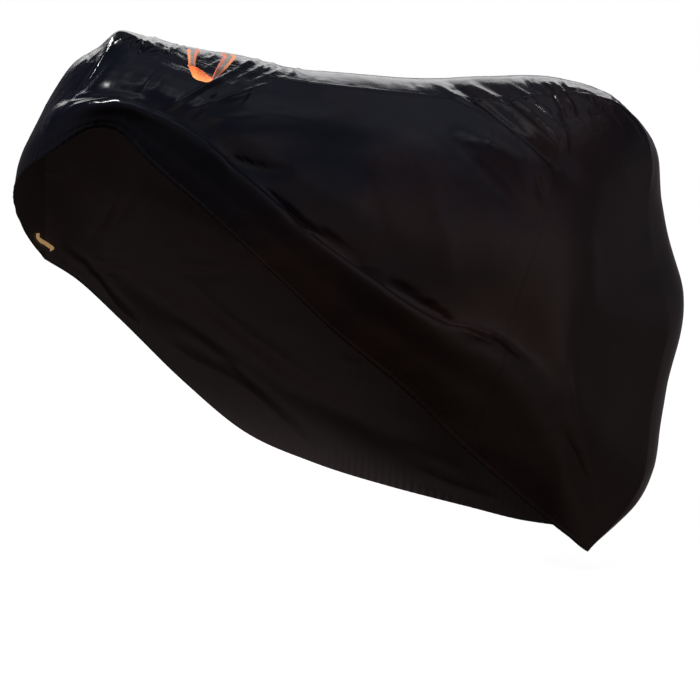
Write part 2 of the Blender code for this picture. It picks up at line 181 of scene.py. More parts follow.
# %% Crown and seam lines
NEAR, FAR = -1.0, 1.0  # the near side looks towards -Y, the far side towards +Y
other_rows = [(x, z, near, sink, 0.0, far, sink, 0.0) for x, z, near, far, sink in TOP_ROWS + TAIL_ROWS]
strip = np.array(NOSE_ROWS + other_rows)
crown_x, crown_height, near_out, near_sink, near_slide, far_out, far_sink, far_slide = strip.T
crown_points = np.stack([crown_x, 0.0 * crown_x, crown_height - REST_HEIGHT], axis=1)
strip_knots = path_knots(crown_points)
PEAK, SHOULDER = strip_knots[len(NOSE_ROWS) - 1], strip_knots[len(NOSE_ROWS) + len(TOP_ROWS) - 1]

direction = np.gradient(crown_points, axis=0)
direction /= np.linalg.norm(direction, axis=1)[:, None]
inward = np.cross(direction, [0.0, -1.0, 0.0])


def seam_line(out, sink, slide, side):
    """One seam's points: out from the middle plane, sunk inside the crown and slid along the strip."""
    points = crown_points + inward * sink[:, None] + direction * slide[:, None]
    points[:, 1] += side * out
    return points


seam_points = {
    "near": seam_line(near_out, near_sink, near_slide, NEAR),
    "far": seam_line(far_out, far_sink, far_slide, FAR),
}
crown_length = float(np.linalg.norm(np.diff(crown_points, axis=0), axis=1).sum())
print("gusset runs", round(crown_length, 2), "m along its crown")

# %% [markdown]
# ## The two sides
# A side is a loft: sections from the top seam down to the hem, set side by side from nose to tail. On the
# near side each section goes over the pleat, so it has a crevice, a ridge and the band below it. The far
# side hangs plainly. The edges are then drawn onto the gusset's seams, with a pull that fades into the
# panel, so the pieces meet as sewn ones do.

# %% Sections of the near side
NEAR_SECTIONS = [  # top share, ridge x y height, hem x y height, tuck, lift, belly
    (0.03, -0.690, -0.300, 1.234, -0.691, -0.285, 1.183, 0.022, 0.010, 0.020),
    (0.08, -0.630, -0.320, 1.242, -0.642, -0.300, 1.183, 0.036, 0.002, 0.028),
    (0.16, -0.564, -0.335, 1.219, -0.568, -0.310, 1.111, 0.046, -0.006, 0.034),
    (0.29, -0.453, -0.350, 1.154, -0.434, -0.315, 0.989, 0.058, -0.014, 0.040),
    (0.41, -0.332, -0.360, 1.056, -0.302, -0.315, 0.861, 0.070, -0.022, 0.048),
    (0.53, -0.186, -0.365, 0.925, -0.171, -0.305, 0.730, 0.078, -0.026, 0.060),
    (0.68, 0.016, -0.365, 0.784, -0.005, -0.285, 0.584, 0.070, -0.018, 0.078),
    (0.85, 0.228, -0.345, 0.672, 0.167, -0.245, 0.414, 0.022, 0.030, 0.080),
    (0.93, 0.379, -0.295, 0.500, 0.334, -0.190, 0.261, -0.030, 0.085, 0.072),
    (0.98, 0.483, -0.235, 0.346, 0.452, -0.145, 0.158, -0.034, 0.080, 0.058),
]
NEAR_LEVELS = [  # place down the loft, share of the nose edge, share of the tail edge
    (0.00, 0.00, 0.00),
    (0.22, 0.25, 0.27),
    (0.44, 0.48, 0.54),
    (0.56, 0.60, 0.78),
    (0.64, 0.68, 0.85),
    (0.82, 0.84, 0.93),
    (1.00, 1.00, 1.00),
]
BAND_SAG = np.array([0.0, -0.006, -0.004])  # how far the band's middle hangs off the straight line


def near_section(row, top):
    """Level points of one near section, from the top seam over the pleat to the hem."""
    ridge, hem = np.array(row[1:4]), np.array(row[4:7])
    ridge[2] -= REST_HEIGHT
    hem[2] -= REST_HEIGHT
    tuck, lift, belly = row[7:]
    up = (top - ridge) / np.linalg.norm(top - ridge)
    crevice = ridge + up * lift + np.array([0.0, tuck, 0.0])
    out = np.array([0.0, -belly, 0.25 * belly])  # the cloth between swells outwards and a little upwards
    upper = top * 0.66 + crevice * 0.34 + out
    lower = top * 0.30 + crevice * 0.70 + out * 0.8
    band = (ridge + hem) / 2.0 + BAND_SAG
    return [top, upper, lower, crevice, ridge, band, hem]


# %% Sections of the far side
FAR_SECTIONS = [  # top share, hem x y height, belly, low belly
    (0.06, -0.708, 0.285, 0.780, 0.050, 0.040),
    (0.14, -0.593, 0.315, 0.660, 0.070, 0.050),
    (0.28, -0.431, 0.325, 0.483, 0.080, 0.060),
    (0.42, -0.266, 0.325, 0.331, 0.085, 0.070),
    (0.58, -0.082, 0.315, 0.236, 0.090, 0.080),
    (0.76, 0.137, 0.280, 0.158, 0.100, 0.095),
    (0.88, 0.346, 0.220, 0.102, 0.100, 0.100),
    (0.95, 0.470, 0.150, 0.078, 0.080, 0.090),
]
FAR_LEVELS = [(level, level, level) for level in (0.00, 0.30, 0.62, 0.86, 1.00)]  # as NEAR_LEVELS


def far_section(row, top):
    """Level points of one far section, from the top seam to the hem."""
    hem = np.array(row[1:4])
    hem[2] -= REST_HEIGHT
    belly, low_belly = row[4:]
    upper = top * 0.70 + hem * 0.30 + np.array([0.0, belly, 0.0])
    lower = top * 0.38 + hem * 0.62 + np.array([0.0, 0.5 * (belly + low_belly), 0.0])
    low = top * 0.14 + hem * 0.86 + np.array([0.0, 0.6 * low_belly, 0.0])
    return [top, upper, lower, low, hem]


# %% The loft of one side
EDGE_FADE = 5.0  # how quickly an edge's pull fades into the panel


def side_loft(side, sections, levels, make_section):
    """The side's loft: its knots, its sections, and the places on the gusset that its edges follow."""
    line = seam_points[side]
    v_knots = [level[0] for level in levels]
    tops = [0.0] + [row[0] for row in sections] + [1.0]
    nose_t = PEAK * (1.0 - np.array([level[1] for level in levels]))
    tail_t = SHOULDER + (1.0 - SHOULDER) * np.array([level[2] for level in levels])
    top_points = through(strip_knots, line, PEAK + (SHOULDER - PEAK) * np.array(tops))
    body = [make_section(row, top) for row, top in zip(sections, top_points[1:-1])]
    rows = [through(strip_knots, line, nose_t), *body, through(strip_knots, line, tail_t)]
    grid = np.array(rows)
    u_knots = path_knots((grid[:, 0] + grid[:, -1]) / 2.0)
    return {
        "line": line, "v": v_knots, "u": u_knots, "grid": grid,
        "tops": tops, "nose_t": nose_t, "tail_t": tail_t,
    }


def side_surface(loft, u_places, v_places):
    """Rows of points over the side, v down and u along, with its edges on the gusset's seams."""
    def bare(u, v):
        columns = np.stack([through(loft["u"], loft["grid"][:, j], u) for j in range(len(loft["v"]))])
        return through(loft["v"], columns, v)

    surface = bare(u_places, v_places)
    nose_t = through(loft["v"], loft["nose_t"], v_places)
    tail_t = through(loft["v"], loft["tail_t"], v_places)
    top_t = PEAK + (SHOULDER - PEAK) * through(loft["u"], loft["tops"], u_places)
    to_nose = through(strip_knots, loft["line"], nose_t) - bare([0.0], v_places)[:, 0]
    to_tail = through(strip_knots, loft["line"], tail_t) - bare([1.0], v_places)[:, 0]
    to_top = through(strip_knots, loft["line"], top_t) - bare(u_places, [0.0])[0]
    u, v = np.asarray(u_places)[None, :, None], np.asarray(v_places)[:, None, None]
    pull = to_nose[:, None] * np.exp(-((EDGE_FADE * u) ** 2))
    pull += to_tail[:, None] * np.exp(-((EDGE_FADE * (1.0 - u)) ** 2))
    return surface + pull + to_top[None] * np.exp(-EDGE_FADE * v)


near_loft = side_loft("near", NEAR_SECTIONS, NEAR_LEVELS, near_section)
far_loft = side_loft("far", FAR_SECTIONS, FAR_LEVELS, far_section)
NEAR_SEAM_SECTION, FAR_SEAM_SECTION = 8, 6  # the upright seams follow these sections, counted from the nose
NEAR_SEAM_U = near_loft["u"][NEAR_SEAM_SECTION]
FAR_SEAM_U = far_loft["u"][FAR_SEAM_SECTION]
print("upright seams at", round(float(NEAR_SEAM_U), 3), round(float(FAR_SEAM_U), 3), "of the way along")

# %% [markdown]
# ## Folds
# Thin nylon shows its folds as crisp, narrow ridges that run from where it is held to where it is pulled.
# Each was drawn as a stroke over the picture: a few pixel positions, how far it stands out and its half
# width, both in millimetres. The surface's points are looked up in the same picture, so a fold falls where
# it was drawn, and it then stays on the cloth. A stroke is a little steeper on one side, as a real fold
# hangs over. Under the strokes lie the model's own broad folds, so that the cloth follows its solid.

# %% Broad folds of the model
BROAD_NEAR_FOLDS = [  # x and height of one end and of the other, how far it stands out, half width: metres
    (-0.47, 1.17, -0.22, 1.28, -0.003, 0.022),
    (-0.45, 1.15, -0.05, 1.23, 0.004, 0.026),
    (-0.41, 1.11, 0.05, 1.16, -0.003, 0.026),
    (0.12, 1.22, 0.34, 1.06, 0.012, 0.030),
    (0.06, 1.21, 0.28, 0.98, -0.010, 0.030),
    (0.22, 1.21, 0.42, 1.04, -0.010, 0.028),
]
BROAD_FAR_FOLDS = [
    (-0.62, 0.80, -0.20, 0.48, 0.014, 0.036),
    (-0.20, 0.48, 0.20, 0.26, 0.012, 0.036),
    (-0.55, 0.98, 0.05, 0.70, -0.012, 0.045),
    (0.10, 1.10, 0.40, 0.60, 0.014, 0.050),
    (-0.30, 1.14, -0.10, 0.82, -0.010, 0.040),
]
FOLD_START, FOLD_RUN = 0.12, 0.76  # the part of a half wave that a fold's height follows, from end to end
TOP_FADE = 6.0  # the folds have their full height from a sixth of the way down


def broad_folds(surface, folds, v_places, side):
    """The surface with the model's folds pushed out sideways, faded in below the top seam."""
    total = np.zeros(surface.shape[:2])
    for x1, z1, x2, z2, height, width in folds:
        run = np.array([x2 - x1, z2 - z1])
        offset = np.stack([surface[..., 0] - x1, surface[..., 2] + REST_HEIGHT - z1], axis=-1)
        share = np.clip(offset @ run / (run @ run), 0.0, 1.0)
        distance = np.linalg.norm(offset - share[..., None] * run, axis=-1)
        along = np.sin(math.pi * (FOLD_START + FOLD_RUN * share))
        total += height * np.exp(-((distance / width) ** 2)) * along
    moved = surface.copy()
    moved[..., 1] += side * total * np.minimum(1.0, TOP_FADE * np.asarray(v_places))[:, None]
    return moved


# %% Strokes on the near side and on the top
NEAR_FOLDS = [  # height and half width in mm, then the stroke's picture points
    # the pleat's rolled rim
    (7.0, 10.0, (66, 98), (80, 96), (98, 95), (118, 96), (138, 99), (158, 106)),
    (6.5, 8.5, (44, 121), (52, 113), (60, 108), (72, 104), (86, 102), (102, 101), (118, 102),
     (133, 107), (152, 114)),
    (6.0, 9.0, (112, 103), (132, 107), (150, 113), (172, 121), (190, 133), (208, 146), (232, 166)),
    (3.5, 4.5, (64, 114), (76, 107), (93, 104), (110, 105)),
    # the crevices behind the rim
    (-10.0, 15.0, (226, 158), (246, 165), (268, 170), (292, 169)),
    (-7.0, 8.0, (246, 172), (280, 204), (300, 226), (330, 240), (365, 260)),
    (-7.0, 9.0, (385, 282), (405, 294), (428, 308), (448, 320), (468, 331)),
    # from the handle down to the pleat
    (4.0, 4.5, (164, 111), (184, 98), (208, 84), (232, 72), (250, 62), (264, 56)),
    (-1.5, 5.5, (166, 114), (188, 101), (210, 89), (234, 77), (254, 67)),
    (3.2, 4.0, (182, 112), (210, 102), (235, 94), (257, 87), (279, 80)),
    (-1.0, 5.0, (186, 115), (212, 106), (237, 97), (262, 89)),
    (2.2, 4.0, (205, 106), (228, 100), (252, 93), (268, 88)),
    (2.2, 4.0, (190, 119), (215, 117), (238, 116), (264, 114)),
    (1.8, 4.5, (262, 112), (285, 114), (305, 118), (320, 123)),
    (-2.0, 5.0, (136, 96), (148, 82), (160, 68), (172, 57)),
    (1.2, 7.0, (145, 98), (157, 84), (168, 71), (179, 60)),
    (1.4, 5.0, (167, 82), (180, 68), (192, 57)),
    # beside the handle
    (2.5, 4.0, (203, 69), (212, 65), (222, 60)),
    (3.0, 4.0, (228, 74), (243, 65), (259, 58)),
    (-2.5, 4.0, (232, 76), (247, 68), (266, 60)),
    (3.0, 4.5, (236, 79), (257, 69), (272, 63), (285, 62)),
    (-2.5, 4.5, (244, 80), (264, 72), (284, 65)),
    (3.0, 4.5, (250, 82), (268, 75), (282, 69), (296, 66)),
    (2.0, 4.5, (290, 74), (299, 68), (308, 66)),
    # from the rear shoulder down
    (6.5, 7.0, (430, 82), (446, 90), (458, 97), (483, 112), (502, 126), (520, 140)),
    (-7.0, 7.5, (442, 78), (468, 93), (490, 110), (512, 129), (537, 150), (560, 168)),
    (7.0, 7.5, (466, 82), (492, 97), (516, 112), (530, 124), (553, 145), (563, 160)),
    (-6.0, 7.0, (486, 84), (506, 96), (530, 112), (550, 132), (564, 148)),
    (6.0, 7.0, (500, 122), (516, 134), (530, 148), (548, 168), (556, 184)),
    (4.5, 6.0, (506, 82), (528, 96), (548, 112), (560, 128)),
    (-4.0, 6.0, (515, 92), (538, 108), (556, 122), (566, 136)),
    (5.5, 5.5, (548, 79), (560, 88), (572, 106), (576, 118)),
    (-4.5, 5.5, (540, 80), (552, 92), (562, 108), (567, 122)),
    (4.5, 5.5, (558, 79), (568, 89), (577, 88)),
    (3.5, 8.0, (554, 112), (566, 138), (568, 156)),
    (-3.5, 8.0, (524, 158), (538, 178), (546, 204)),
    (2.4, 10.0, (470, 150), (500, 176), (522, 204), (534, 236)),
    (-2.4, 10.0, (480, 140), (512, 168), (532, 196)),
    (2.0, 8.0, (492, 150), (516, 172), (534, 196), (540, 214)),
    (-6.0, 5.5, (612, 96), (626, 104), (640, 117), (654, 138)),
    (5.0, 6.0, (600, 98), (616, 108), (630, 122), (644, 144)),
    (-3.0, 5.0, (588, 92), (604, 106), (618, 122), (630, 140)),
    # where the pleat runs out
    (-5.0, 15.0, (440, 326), (468, 338), (500, 349), (532, 354)),
    (2.5, 5.0, (452, 325), (466, 330), (484, 337), (504, 345)),
    (-2.0, 5.0, (462, 322), (480, 330), (502, 338)),
    (-4.0, 18.0, (556, 420), (576, 456), (590, 492), (602, 520)),
    (-3.0, 8.0, (616, 512), (606, 528), (598, 538)),
    # broad swells
    (2.0, 16.0, (598, 130), (620, 160), (634, 200)),
    (2.5, 24.0, (400, 130), (430, 180), (450, 240), (456, 290)),
    (-2.5, 24.0, (340, 130), (372, 190), (392, 250)),
]

# %% Strokes on the inside of the far side
FAR_FOLDS = [  # as NEAR_FOLDS
    (3.0, 7.0, (72, 262), (100, 261), (130, 263), (158, 264)),
    (-3.0, 7.0, (76, 270), (104, 272), (134, 270)),
    (3.0, 9.0, (178, 262), (206, 266), (232, 262)),
    (-3.0, 8.0, (180, 270), (208, 276), (240, 270)),
    (3.0, 6.0, (24, 172), (45, 173), (66, 172)),
    (6.0, 10.0, (58, 246), (80, 262), (96, 278), (118, 308), (140, 326)),
    (-5.0, 10.0, (66, 244), (92, 264), (114, 292), (136, 314)),
    (6.0, 9.0, (164, 341), (196, 361), (230, 378), (256, 396), (312, 446)),
    (-4.5, 10.0, (172, 334), (204, 352), (238, 370), (266, 392), (318, 438)),
    (4.0, 12.0, (168, 317), (206, 344), (232, 368), (270, 410)),
    (5.0, 18.0, (180, 274), (206, 298), (245, 332), (279, 356), (305, 375), (335, 392)),
    (-5.0, 16.0, (190, 300), (222, 328), (256, 356), (290, 384)),
    (3.0, 10.0, (334, 356), (350, 362), (362, 368)),
    (3.0, 12.0, (120, 190), (104, 220), (84, 244)),
    (-3.0, 12.0, (136, 190), (118, 222), (96, 250)),
    (3.0, 10.0, (396, 442), (430, 456), (470, 474)),
    (4.0, 10.0, (410, 466), (450, 484), (500, 500)),
    (-4.0, 10.0, (404, 478), (440, 490), (484, 506)),
]

# %% [markdown]
# Where the cloth is bunched up, there are too many small creases to draw one by one. There they are
# scattered: each row of the next table is one such place, and a seeded random generator lays short curved
# strokes in it, so that every run gives the same creases.

# %% Scattered creases
BUNCHED = [  # middle, spread, direction in degrees, length (picture), height and half width in mm, how many
    ((138, 44), (8, 4.0), -32.0, 24.0, 2.2, 3.4, 16),
    ((170, 48), (18, 3.5), -12.0, 22.0, 2.2, 3.4, 26),
    ((88, 58), (5, 4.0), -52.0, 10.0, 1.4, 2.8, 8),
    ((212, 56), (14, 4.0), -12.0, 14.0, 1.5, 3.2, 18),
    ((262, 66), (22, 4.0), -16.0, 20.0, 1.6, 3.4, 26),
    ((330, 74), (40, 3.0), 12.0, 22.0, 0.7, 4.0, 14),
    ((440, 84), (50, 4.0), 30.0, 14.0, 0.9, 4.0, 22),
    ((556, 86), (16, 6.0), 48.0, 13.0, 2.0, 3.8, 20),
    ((606, 104), (12, 8.0), 48.0, 14.0, 1.4, 4.0, 10),
    ((44, 124), (4, 9.0), -35.0, 10.0, 1.6, 3.4, 8),
    ((235, 92), (34, 12.0), -18.0, 28.0, 1.2, 4.5, 20),
    ((520, 112), (34, 18.0), 40.0, 26.0, 1.2, 5.0, 26),
    ((484, 339), (12, 4.0), 24.0, 18.0, 1.4, 4.0, 12),
]
CREASE_SEED = 7
START_SPREAD = 0.8  # how far a crease strays from the place's middle, in shares of its spread
TURN_SPREAD = 14.0  # degrees that it turns off the place's direction
BEND_SPREAD = 0.35  # radians that it bends at each step
CREASE_STEPS = 3
HOLLOW_SHARE = 0.35  # the share of creases that are hollows
LENGTH_RANGE, HEIGHT_RANGE, WIDTH_RANGE = (0.5, 1.3), (0.4, 1.2), (0.7, 1.4)  # shares of the place's values


def scattered(places, seed):
    """Short curved strokes in the bunched places, as rows of a stroke table."""
    random = np.random.default_rng(seed)
    strokes = []
    for middle, spread, degrees, length, height, width, count in places:
        for _ in range(count):
            start = np.array(middle) + np.array(spread) * random.normal(0.0, START_SPREAD, 2)
            angle = math.radians(degrees + random.normal(0.0, TURN_SPREAD))
            bend = random.normal(0.0, BEND_SPREAD)
            step = length * random.uniform(*LENGTH_RANGE) / CREASE_STEPS
            points = [start]
            for _ in range(CREASE_STEPS):
                points.append(points[-1] + step * np.array([math.cos(angle), math.sin(angle)]))
                angle += bend
            points = [tuple(point - (points[-1] - start) / 2.0) for point in points]
            sign = -1.0 if random.random() < HOLLOW_SHARE else 1.0
            stands_out = sign * height * random.uniform(*HEIGHT_RANGE)
            strokes.append((stands_out, width * random.uniform(*WIDTH_RANGE), *points))
    return strokes


near_strokes = NEAR_FOLDS + scattered(BUNCHED, CREASE_SEED)
print(len(NEAR_FOLDS), "drawn strokes,", len(near_strokes) - len(NEAR_FOLDS), "scattered ones")


# %% From strokes to height
LEAN = 0.30  # how much steeper a fold is on its one side
CREST = 1.35  # 2 gives a round crest, 1 a sharp one
END_FADE = 0.7  # under 1, so a stroke keeps its height until near its ends
CUT_OFF = 6.0  # half widths from a stroke at which it has faded out
FINEST_PIXEL = 2.0  # millimetres: a pixel of the picture never covers less of this cloth


def fold_heights(points, folds):
    """Height in metres that the strokes give to each point, by its distance from them in the picture."""
    x, y = in_picture(points)
    pixel = 1000.0 * depth_of(points) / FOCAL  # millimetres that a pixel covers at each point
    total = np.zeros(x.shape)
    for height, width, *stroke in folds:
        stroke = np.array(stroke, float)
        reach = CUT_OFF * width / FINEST_PIXEL
        inside = (x > stroke[:, 0].min() - reach) & (x < stroke[:, 0].max() + reach)
        inside &= (y > stroke[:, 1].min() - reach) & (y < stroke[:, 1].max() + reach)
        px, py, scale = x[inside], y[inside], pixel[inside]
        lengths = np.linalg.norm(np.diff(stroke, axis=0), axis=1)
        begin = np.concatenate([[0.0], np.cumsum(lengths)])
        nearest, share, side = np.full(px.shape, np.inf), np.zeros(px.shape), np.zeros(px.shape)
        for k, (a, b) in enumerate(zip(stroke, stroke[1:])):
            run = (b - a) / lengths[k]
            along = np.clip((px - a[0]) * run[0] + (py - a[1]) * run[1], 0.0, lengths[k])
            dx, dy = px - a[0] - along * run[0], py - a[1] - along * run[1]
            distance = np.hypot(dx, dy)
            closer = distance < nearest
            nearest = np.where(closer, distance, nearest)
            share = np.where(closer, (begin[k] + along) / begin[-1], share)
            side = np.where(closer, np.sign(run[0] * dy - run[1] * dx), side)
        ends = np.sin(math.pi * share) ** END_FADE
        profile = np.exp(-((nearest * scale / (width * (1.0 + LEAN * side))) ** CREST))
        total[inside] += 0.001 * height * ends * profile
    return total


# %% [markdown]
# ## Crumples
# Between the folds the cloth is never smooth: it keeps the creases of being packed away. Ridged noise gives
# them, because it is made of sharp lines with soft valleys between. It is stretched along the way the cloth
# is pulled, and it is strongest where the cloth is slack: along the top, at the rear shoulder, near the
# nose and low on the tail.

# %% Ridged noise over a surface
SEED_STEP = 7.31  # how far apart the noise is read for one seed and the next
FINER, WEAKER = 2.1, 0.5  # an octave against the one before: how many times finer, and how strong
RIDGE_TOP, RIDGE_SLOPE = 0.4, 2.0  # a ridge's height, and how fast it falls away beside its line


def crumple(points, size, seed, stretch, octaves=3):
    """Noise with sharp ridges and soft hollows, with features of the given size in metres."""
    scaled = (points / size * np.array(stretch)).reshape(-1, 3) + seed * SEED_STEP
    total = np.zeros(len(scaled))
    for octave in range(octaves):
        values = np.array([noise.noise(p) for p in scaled * FINER**octave])
        total += (RIDGE_TOP - RIDGE_SLOPE * np.abs(values)) * WEAKER**octave
    return total.reshape(points.shape[:-1])


def near_place(points, x, height, radius_x, radius_z):
    """1 at a place seen from the side, fading to 0 over its two radii."""
    dx = (points[..., 0] - x) / radius_x
    dz = (points[..., 2] + REST_HEIGHT - height) / radius_z
    return np.exp(-(dx * dx) - dz * dz)


SLACK_PLACES = [  # x, height, its two radii, how slack: the top, the shoulder, the nose and the tail
    (-0.42, 1.33, 0.30, 0.06, 1.00),
    (0.52, 1.22, 0.14, 0.08, 1.00),
    (-0.70, 1.24, 0.12, 0.12, 0.40),
    (0.72, 0.35, 0.14, 0.26, 0.35),
]


def slackness(points):
    """How slack the outer cloth is, from 0, taut, to 1."""
    total = sum(slack * near_place(points, *place) for *place, slack in SLACK_PLACES)
    return np.clip(total, 0.0, 1.0)


# %% [markdown]
# ## Making a sheet
# A sheet starts as rows of points. They are moved outwards by the folds' heights, put into a mesh as a
# plain grid, and given their thickness by a Solidify modifier. That modifier can give the inner face the
# next material, and this cloth needs it: satin outside, matt coating inside. Two pieces that are sewn
# together must move alike at their seam. So near it the direction depends on the place alone, straight out
# from the cover's middle, and not on each piece's own normal.

# %% Normals and sheets
CLOTH_THICKNESS = 0.0011
TO_NEAR, TO_FAR, TO_SKY = (0.0, -1.0, 0.0), (0.0, 1.0, 0.0), (0.0, 0.0, 1.0)  # which way outwards is


def normals_of(surface, outward):
    """Unit normals of a grid of points, on the side that the outward vector names."""
    across, down = np.gradient(surface, axis=1), np.gradient(surface, axis=0)
    normal = np.cross(across, down)
    normal /= np.linalg.norm(normal, axis=2)[..., None] + 1e-12
    flip = np.sign((normal * np.array(outward)).sum(axis=2).mean())
    return normal * flip


MIDDLE_DROP = 0.22  # the middle, from which the cloth is pushed out near a seam, lies this far under the top
OVER_TOP = slice(3, 18)  # the strip's rows over the top, along which x only grows


def pushed_out(surface, outward, height, free):
    """The surface moved out by its height: along its normals where free is 1, from the middle where 0."""
    top = np.interp(surface[..., 0], crown_x[OVER_TOP], crown_height[OVER_TOP])
    middle_z = top - REST_HEIGHT - MIDDLE_DROP
    away = np.stack([0.0 * surface[..., 0], surface[..., 1], surface[..., 2] - middle_z], axis=-1)
    away /= np.linalg.norm(away, axis=-1)[..., None]
    way = away * (1.0 - free[..., None]) + normals_of(surface, outward) * free[..., None]
    way /= np.linalg.norm(way, axis=-1)[..., None]
    return surface + way * height[..., None]


def sharpen_cut_edges(mesh, rows, columns):
    """Marks the grid's outer edges sharp, or the thin rim would tilt the shading of the cloth beside it."""
    ends = np.empty(2 * len(mesh.edges), dtype=np.int32)
    mesh.edges.foreach_get("vertices", ends)
    row, column = np.divmod(ends.reshape(-1, 2), columns)
    cut = np.isin(row, (0, rows - 1)).all(axis=1) & (row[:, 0] == row[:, 1])
    cut |= np.isin(column, (0, columns - 1)).all(axis=1) & (column[:, 0] == column[:, 1])
    mesh.attributes.new("sharp_edge", "BOOLEAN", "EDGE").data.foreach_set("value", cut)


def sheet_object(name, surface, materials, thickness=CLOTH_THICKNESS, uv=None):
    """A thin sheet over a grid of points, with two materials: its outer face's and its inner face's."""
    rows, columns = surface.shape[:2]
    index = np.arange(rows * columns).reshape(rows, columns)
    corners = [index[:-1, :-1], index[1:, :-1], index[1:, 1:], index[:-1, 1:]]
    faces = np.stack([c.ravel() for c in corners], axis=1)
    mesh = bpy.data.meshes.new(name)
    mesh.from_pydata(surface.reshape(-1, 3).tolist(), [], faces.tolist())
    if uv is not None:
        layer = mesh.uv_layers.new(name="along")
        loops = np.empty(len(mesh.loops), dtype=np.int32)
        mesh.loops.foreach_get("vertex_index", loops)
        layer.data.foreach_set("uv", uv.reshape(-1, 2)[loops].ravel())
    for material in materials:
        mesh.materials.append(material)
    mesh.shade_smooth()
    sharpen_cut_edges(mesh, rows, columns)
    made = add_object(name, mesh)
    solid = made.modifiers.new("thickness", "SOLIDIFY")
    solid.thickness = thickness
    solid.offset = 0.0
    solid.material_offset = 1
    return made


# %% [markdown]
# ## The nylon
# Outside it is a tight plain weave, calendered until it has a satin gleam: nearly black, with soft
# highlights that run along each fold. Noise gives it small creases and an uneven gleam, and fine cells give
# the grain of its weave. Inside, a waterproof coating makes it matt and a little browner.

# %% Helpers for node materials
def node(tree, kind, **settings):
    """A new shader node with its settings."""
    made = tree.nodes.new(kind)
    for key, value in settings.items():
        setattr(made, key, value)
    return made


def new_material(name, base, roughness, **sockets):
    """A Principled material and its tree."""
    made = bpy.data.materials.new(name)
    made.use_nodes = True
    shader = made.node_tree.nodes["Principled BSDF"]
    shader.inputs["Base Color"].default_value = (*base, 1.0)
    shader.inputs["Roughness"].default_value = roughness
    for key, value in sockets.items():
        shader.inputs[key.replace("_", " ")].default_value = value
    return made, made.node_tree, shader


def noise_texture(tree, coordinates, scale, detail, roughness=0.55, stretch=(1.0, 1.0, 1.0), distortion=0.0):
    """The value of a noise texture over stretched coordinates."""
    mapping = node(tree, "ShaderNodeMapping")
    mapping.inputs["Scale"].default_value = stretch
    tree.links.new(coordinates, mapping.inputs["Vector"])
    texture = node(tree, "ShaderNodeTexNoise")
    texture.inputs["Scale"].default_value = scale
    texture.inputs["Detail"].default_value = detail
    texture.inputs["Roughness"].default_value = roughness
    texture.inputs["Distortion"].default_value = distortion
    tree.links.new(mapping.outputs["Vector"], texture.inputs["Vector"])
    return texture.outputs["Fac"]


def calculated(tree, operation, *values):
    """The result of a math node on some values, each a number or another node's output."""
    made = node(tree, "ShaderNodeMath", operation=operation)
    for socket, value in zip(made.inputs, values):
        if isinstance(value, float):
            socket.default_value = value
        else:
            tree.links.new(value, socket)
    return made.outputs["Value"]


def bump(tree, height, strength, distance, before=None):
    """The normal of a bump node, on top of another one's normal."""
    made = node(tree, "ShaderNodeBump")
    made.inputs["Strength"].default_value = strength
    made.inputs["Distance"].default_value = distance
    tree.links.new(height, made.inputs["Height"])
    if before is not None:
        tree.links.new(before, made.inputs["Normal"])
    return made.outputs["Normal"]


def ramp(tree, value, stops):
    """The colour of a ramp over a value, with (place, colour) stops."""
    made = node(tree, "ShaderNodeValToRGB")
    while len(made.color_ramp.elements) < len(stops):
        made.color_ramp.elements.new(0.5)
    for element, (place, colour) in zip(made.color_ramp.elements, stops):
        element.position = place
        element.color = (*colour, 1.0)
    tree.links.new(value, made.inputs["Fac"])
    return made.outputs["Color"]


# %% Satin nylon outside, coating inside
PAINTED_TINT_BACK, PAINTED_TINT_UP = 0.45, -0.9  # painted light: how much the colour changes per metre towards the tail and upwards, browner and lighter low at the back for warm light there, bluer above for cool light from above
CREASE = 0.06  # strength of the creases' bump


def nylon_material(name, upper, lower, rough_low, rough_high, **sockets):
    """Cloth in painted light: bluer at its upper front, browner and lighter low at the back, with an uneven
    gleam and small creases.
    """
    made, tree, shader = new_material(name, upper, 0.4, **sockets)
    where = node(tree, "ShaderNodeTexCoord").outputs["Object"]
    place = node(tree, "ShaderNodeSeparateXYZ")
    tree.links.new(where, place.inputs["Vector"])
    patches = noise_texture(tree, where, scale=5.0, detail=4.0)
    # painted light: the tint runs from the upper colour to the lower one towards the tail and downwards
    back = calculated(tree, "MULTIPLY_ADD", place.outputs["X"], PAINTED_TINT_BACK, patches)
    low = calculated(tree, "MULTIPLY_ADD", place.outputs["Z"], PAINTED_TINT_UP, back)
    tree.links.new(ramp(tree, low, [(0.50, upper), (1.0, lower)]), shader.inputs["Base Color"])
    gleam = noise_texture(tree, where, scale=22.0, detail=5.0, roughness=0.6)
    rough = ramp(tree, gleam, [(0.30, (rough_low,) * 3), (0.72, (rough_high,) * 3)])
    tree.links.new(rough, shader.inputs["Roughness"])
    creases = noise_texture(
        tree, where, scale=16.0, detail=6.0, roughness=0.62, stretch=(0.7, 1.0, 1.3), distortion=0.6
    )
    small = noise_texture(tree, where, scale=75.0, detail=3.0, roughness=0.6, distortion=0.4)
    weave = node(tree, "ShaderNodeTexVoronoi", feature="F1")
    weave.inputs["Scale"].default_value = 1600.0
    tree.links.new(where, weave.inputs["Vector"])
    relief = bump(tree, creases, CREASE, 0.010)
    relief = bump(tree, small, CREASE * 0.6, 0.0016, relief)
    relief = bump(tree, weave.outputs["Distance"], 0.15, 0.0002, relief)
    tree.links.new(relief, shader.inputs["Normal"])
    return made


# one black cloth: its two colours are painted light, cool above and warm and brighter low at the back
outer_nylon = nylon_material(
    "satin_nylon", (0.0016, 0.0020, 0.0042), (0.0145, 0.0064, 0.0048), 0.14, 0.23,
    Specular_IOR_Level=0.5,
)
inner_coating = nylon_material(
    "matt_coating", (0.080, 0.067, 0.060), (0.096, 0.078, 0.070), 0.42, 0.54,
    Specular_IOR_Level=0.35, Sheen_Weight=0.10, Sheen_Roughness=0.5,
)
NYLON = [outer_nylon, inner_coating]
print("cloth materials:", outer_nylon.name, inner_coating.name)

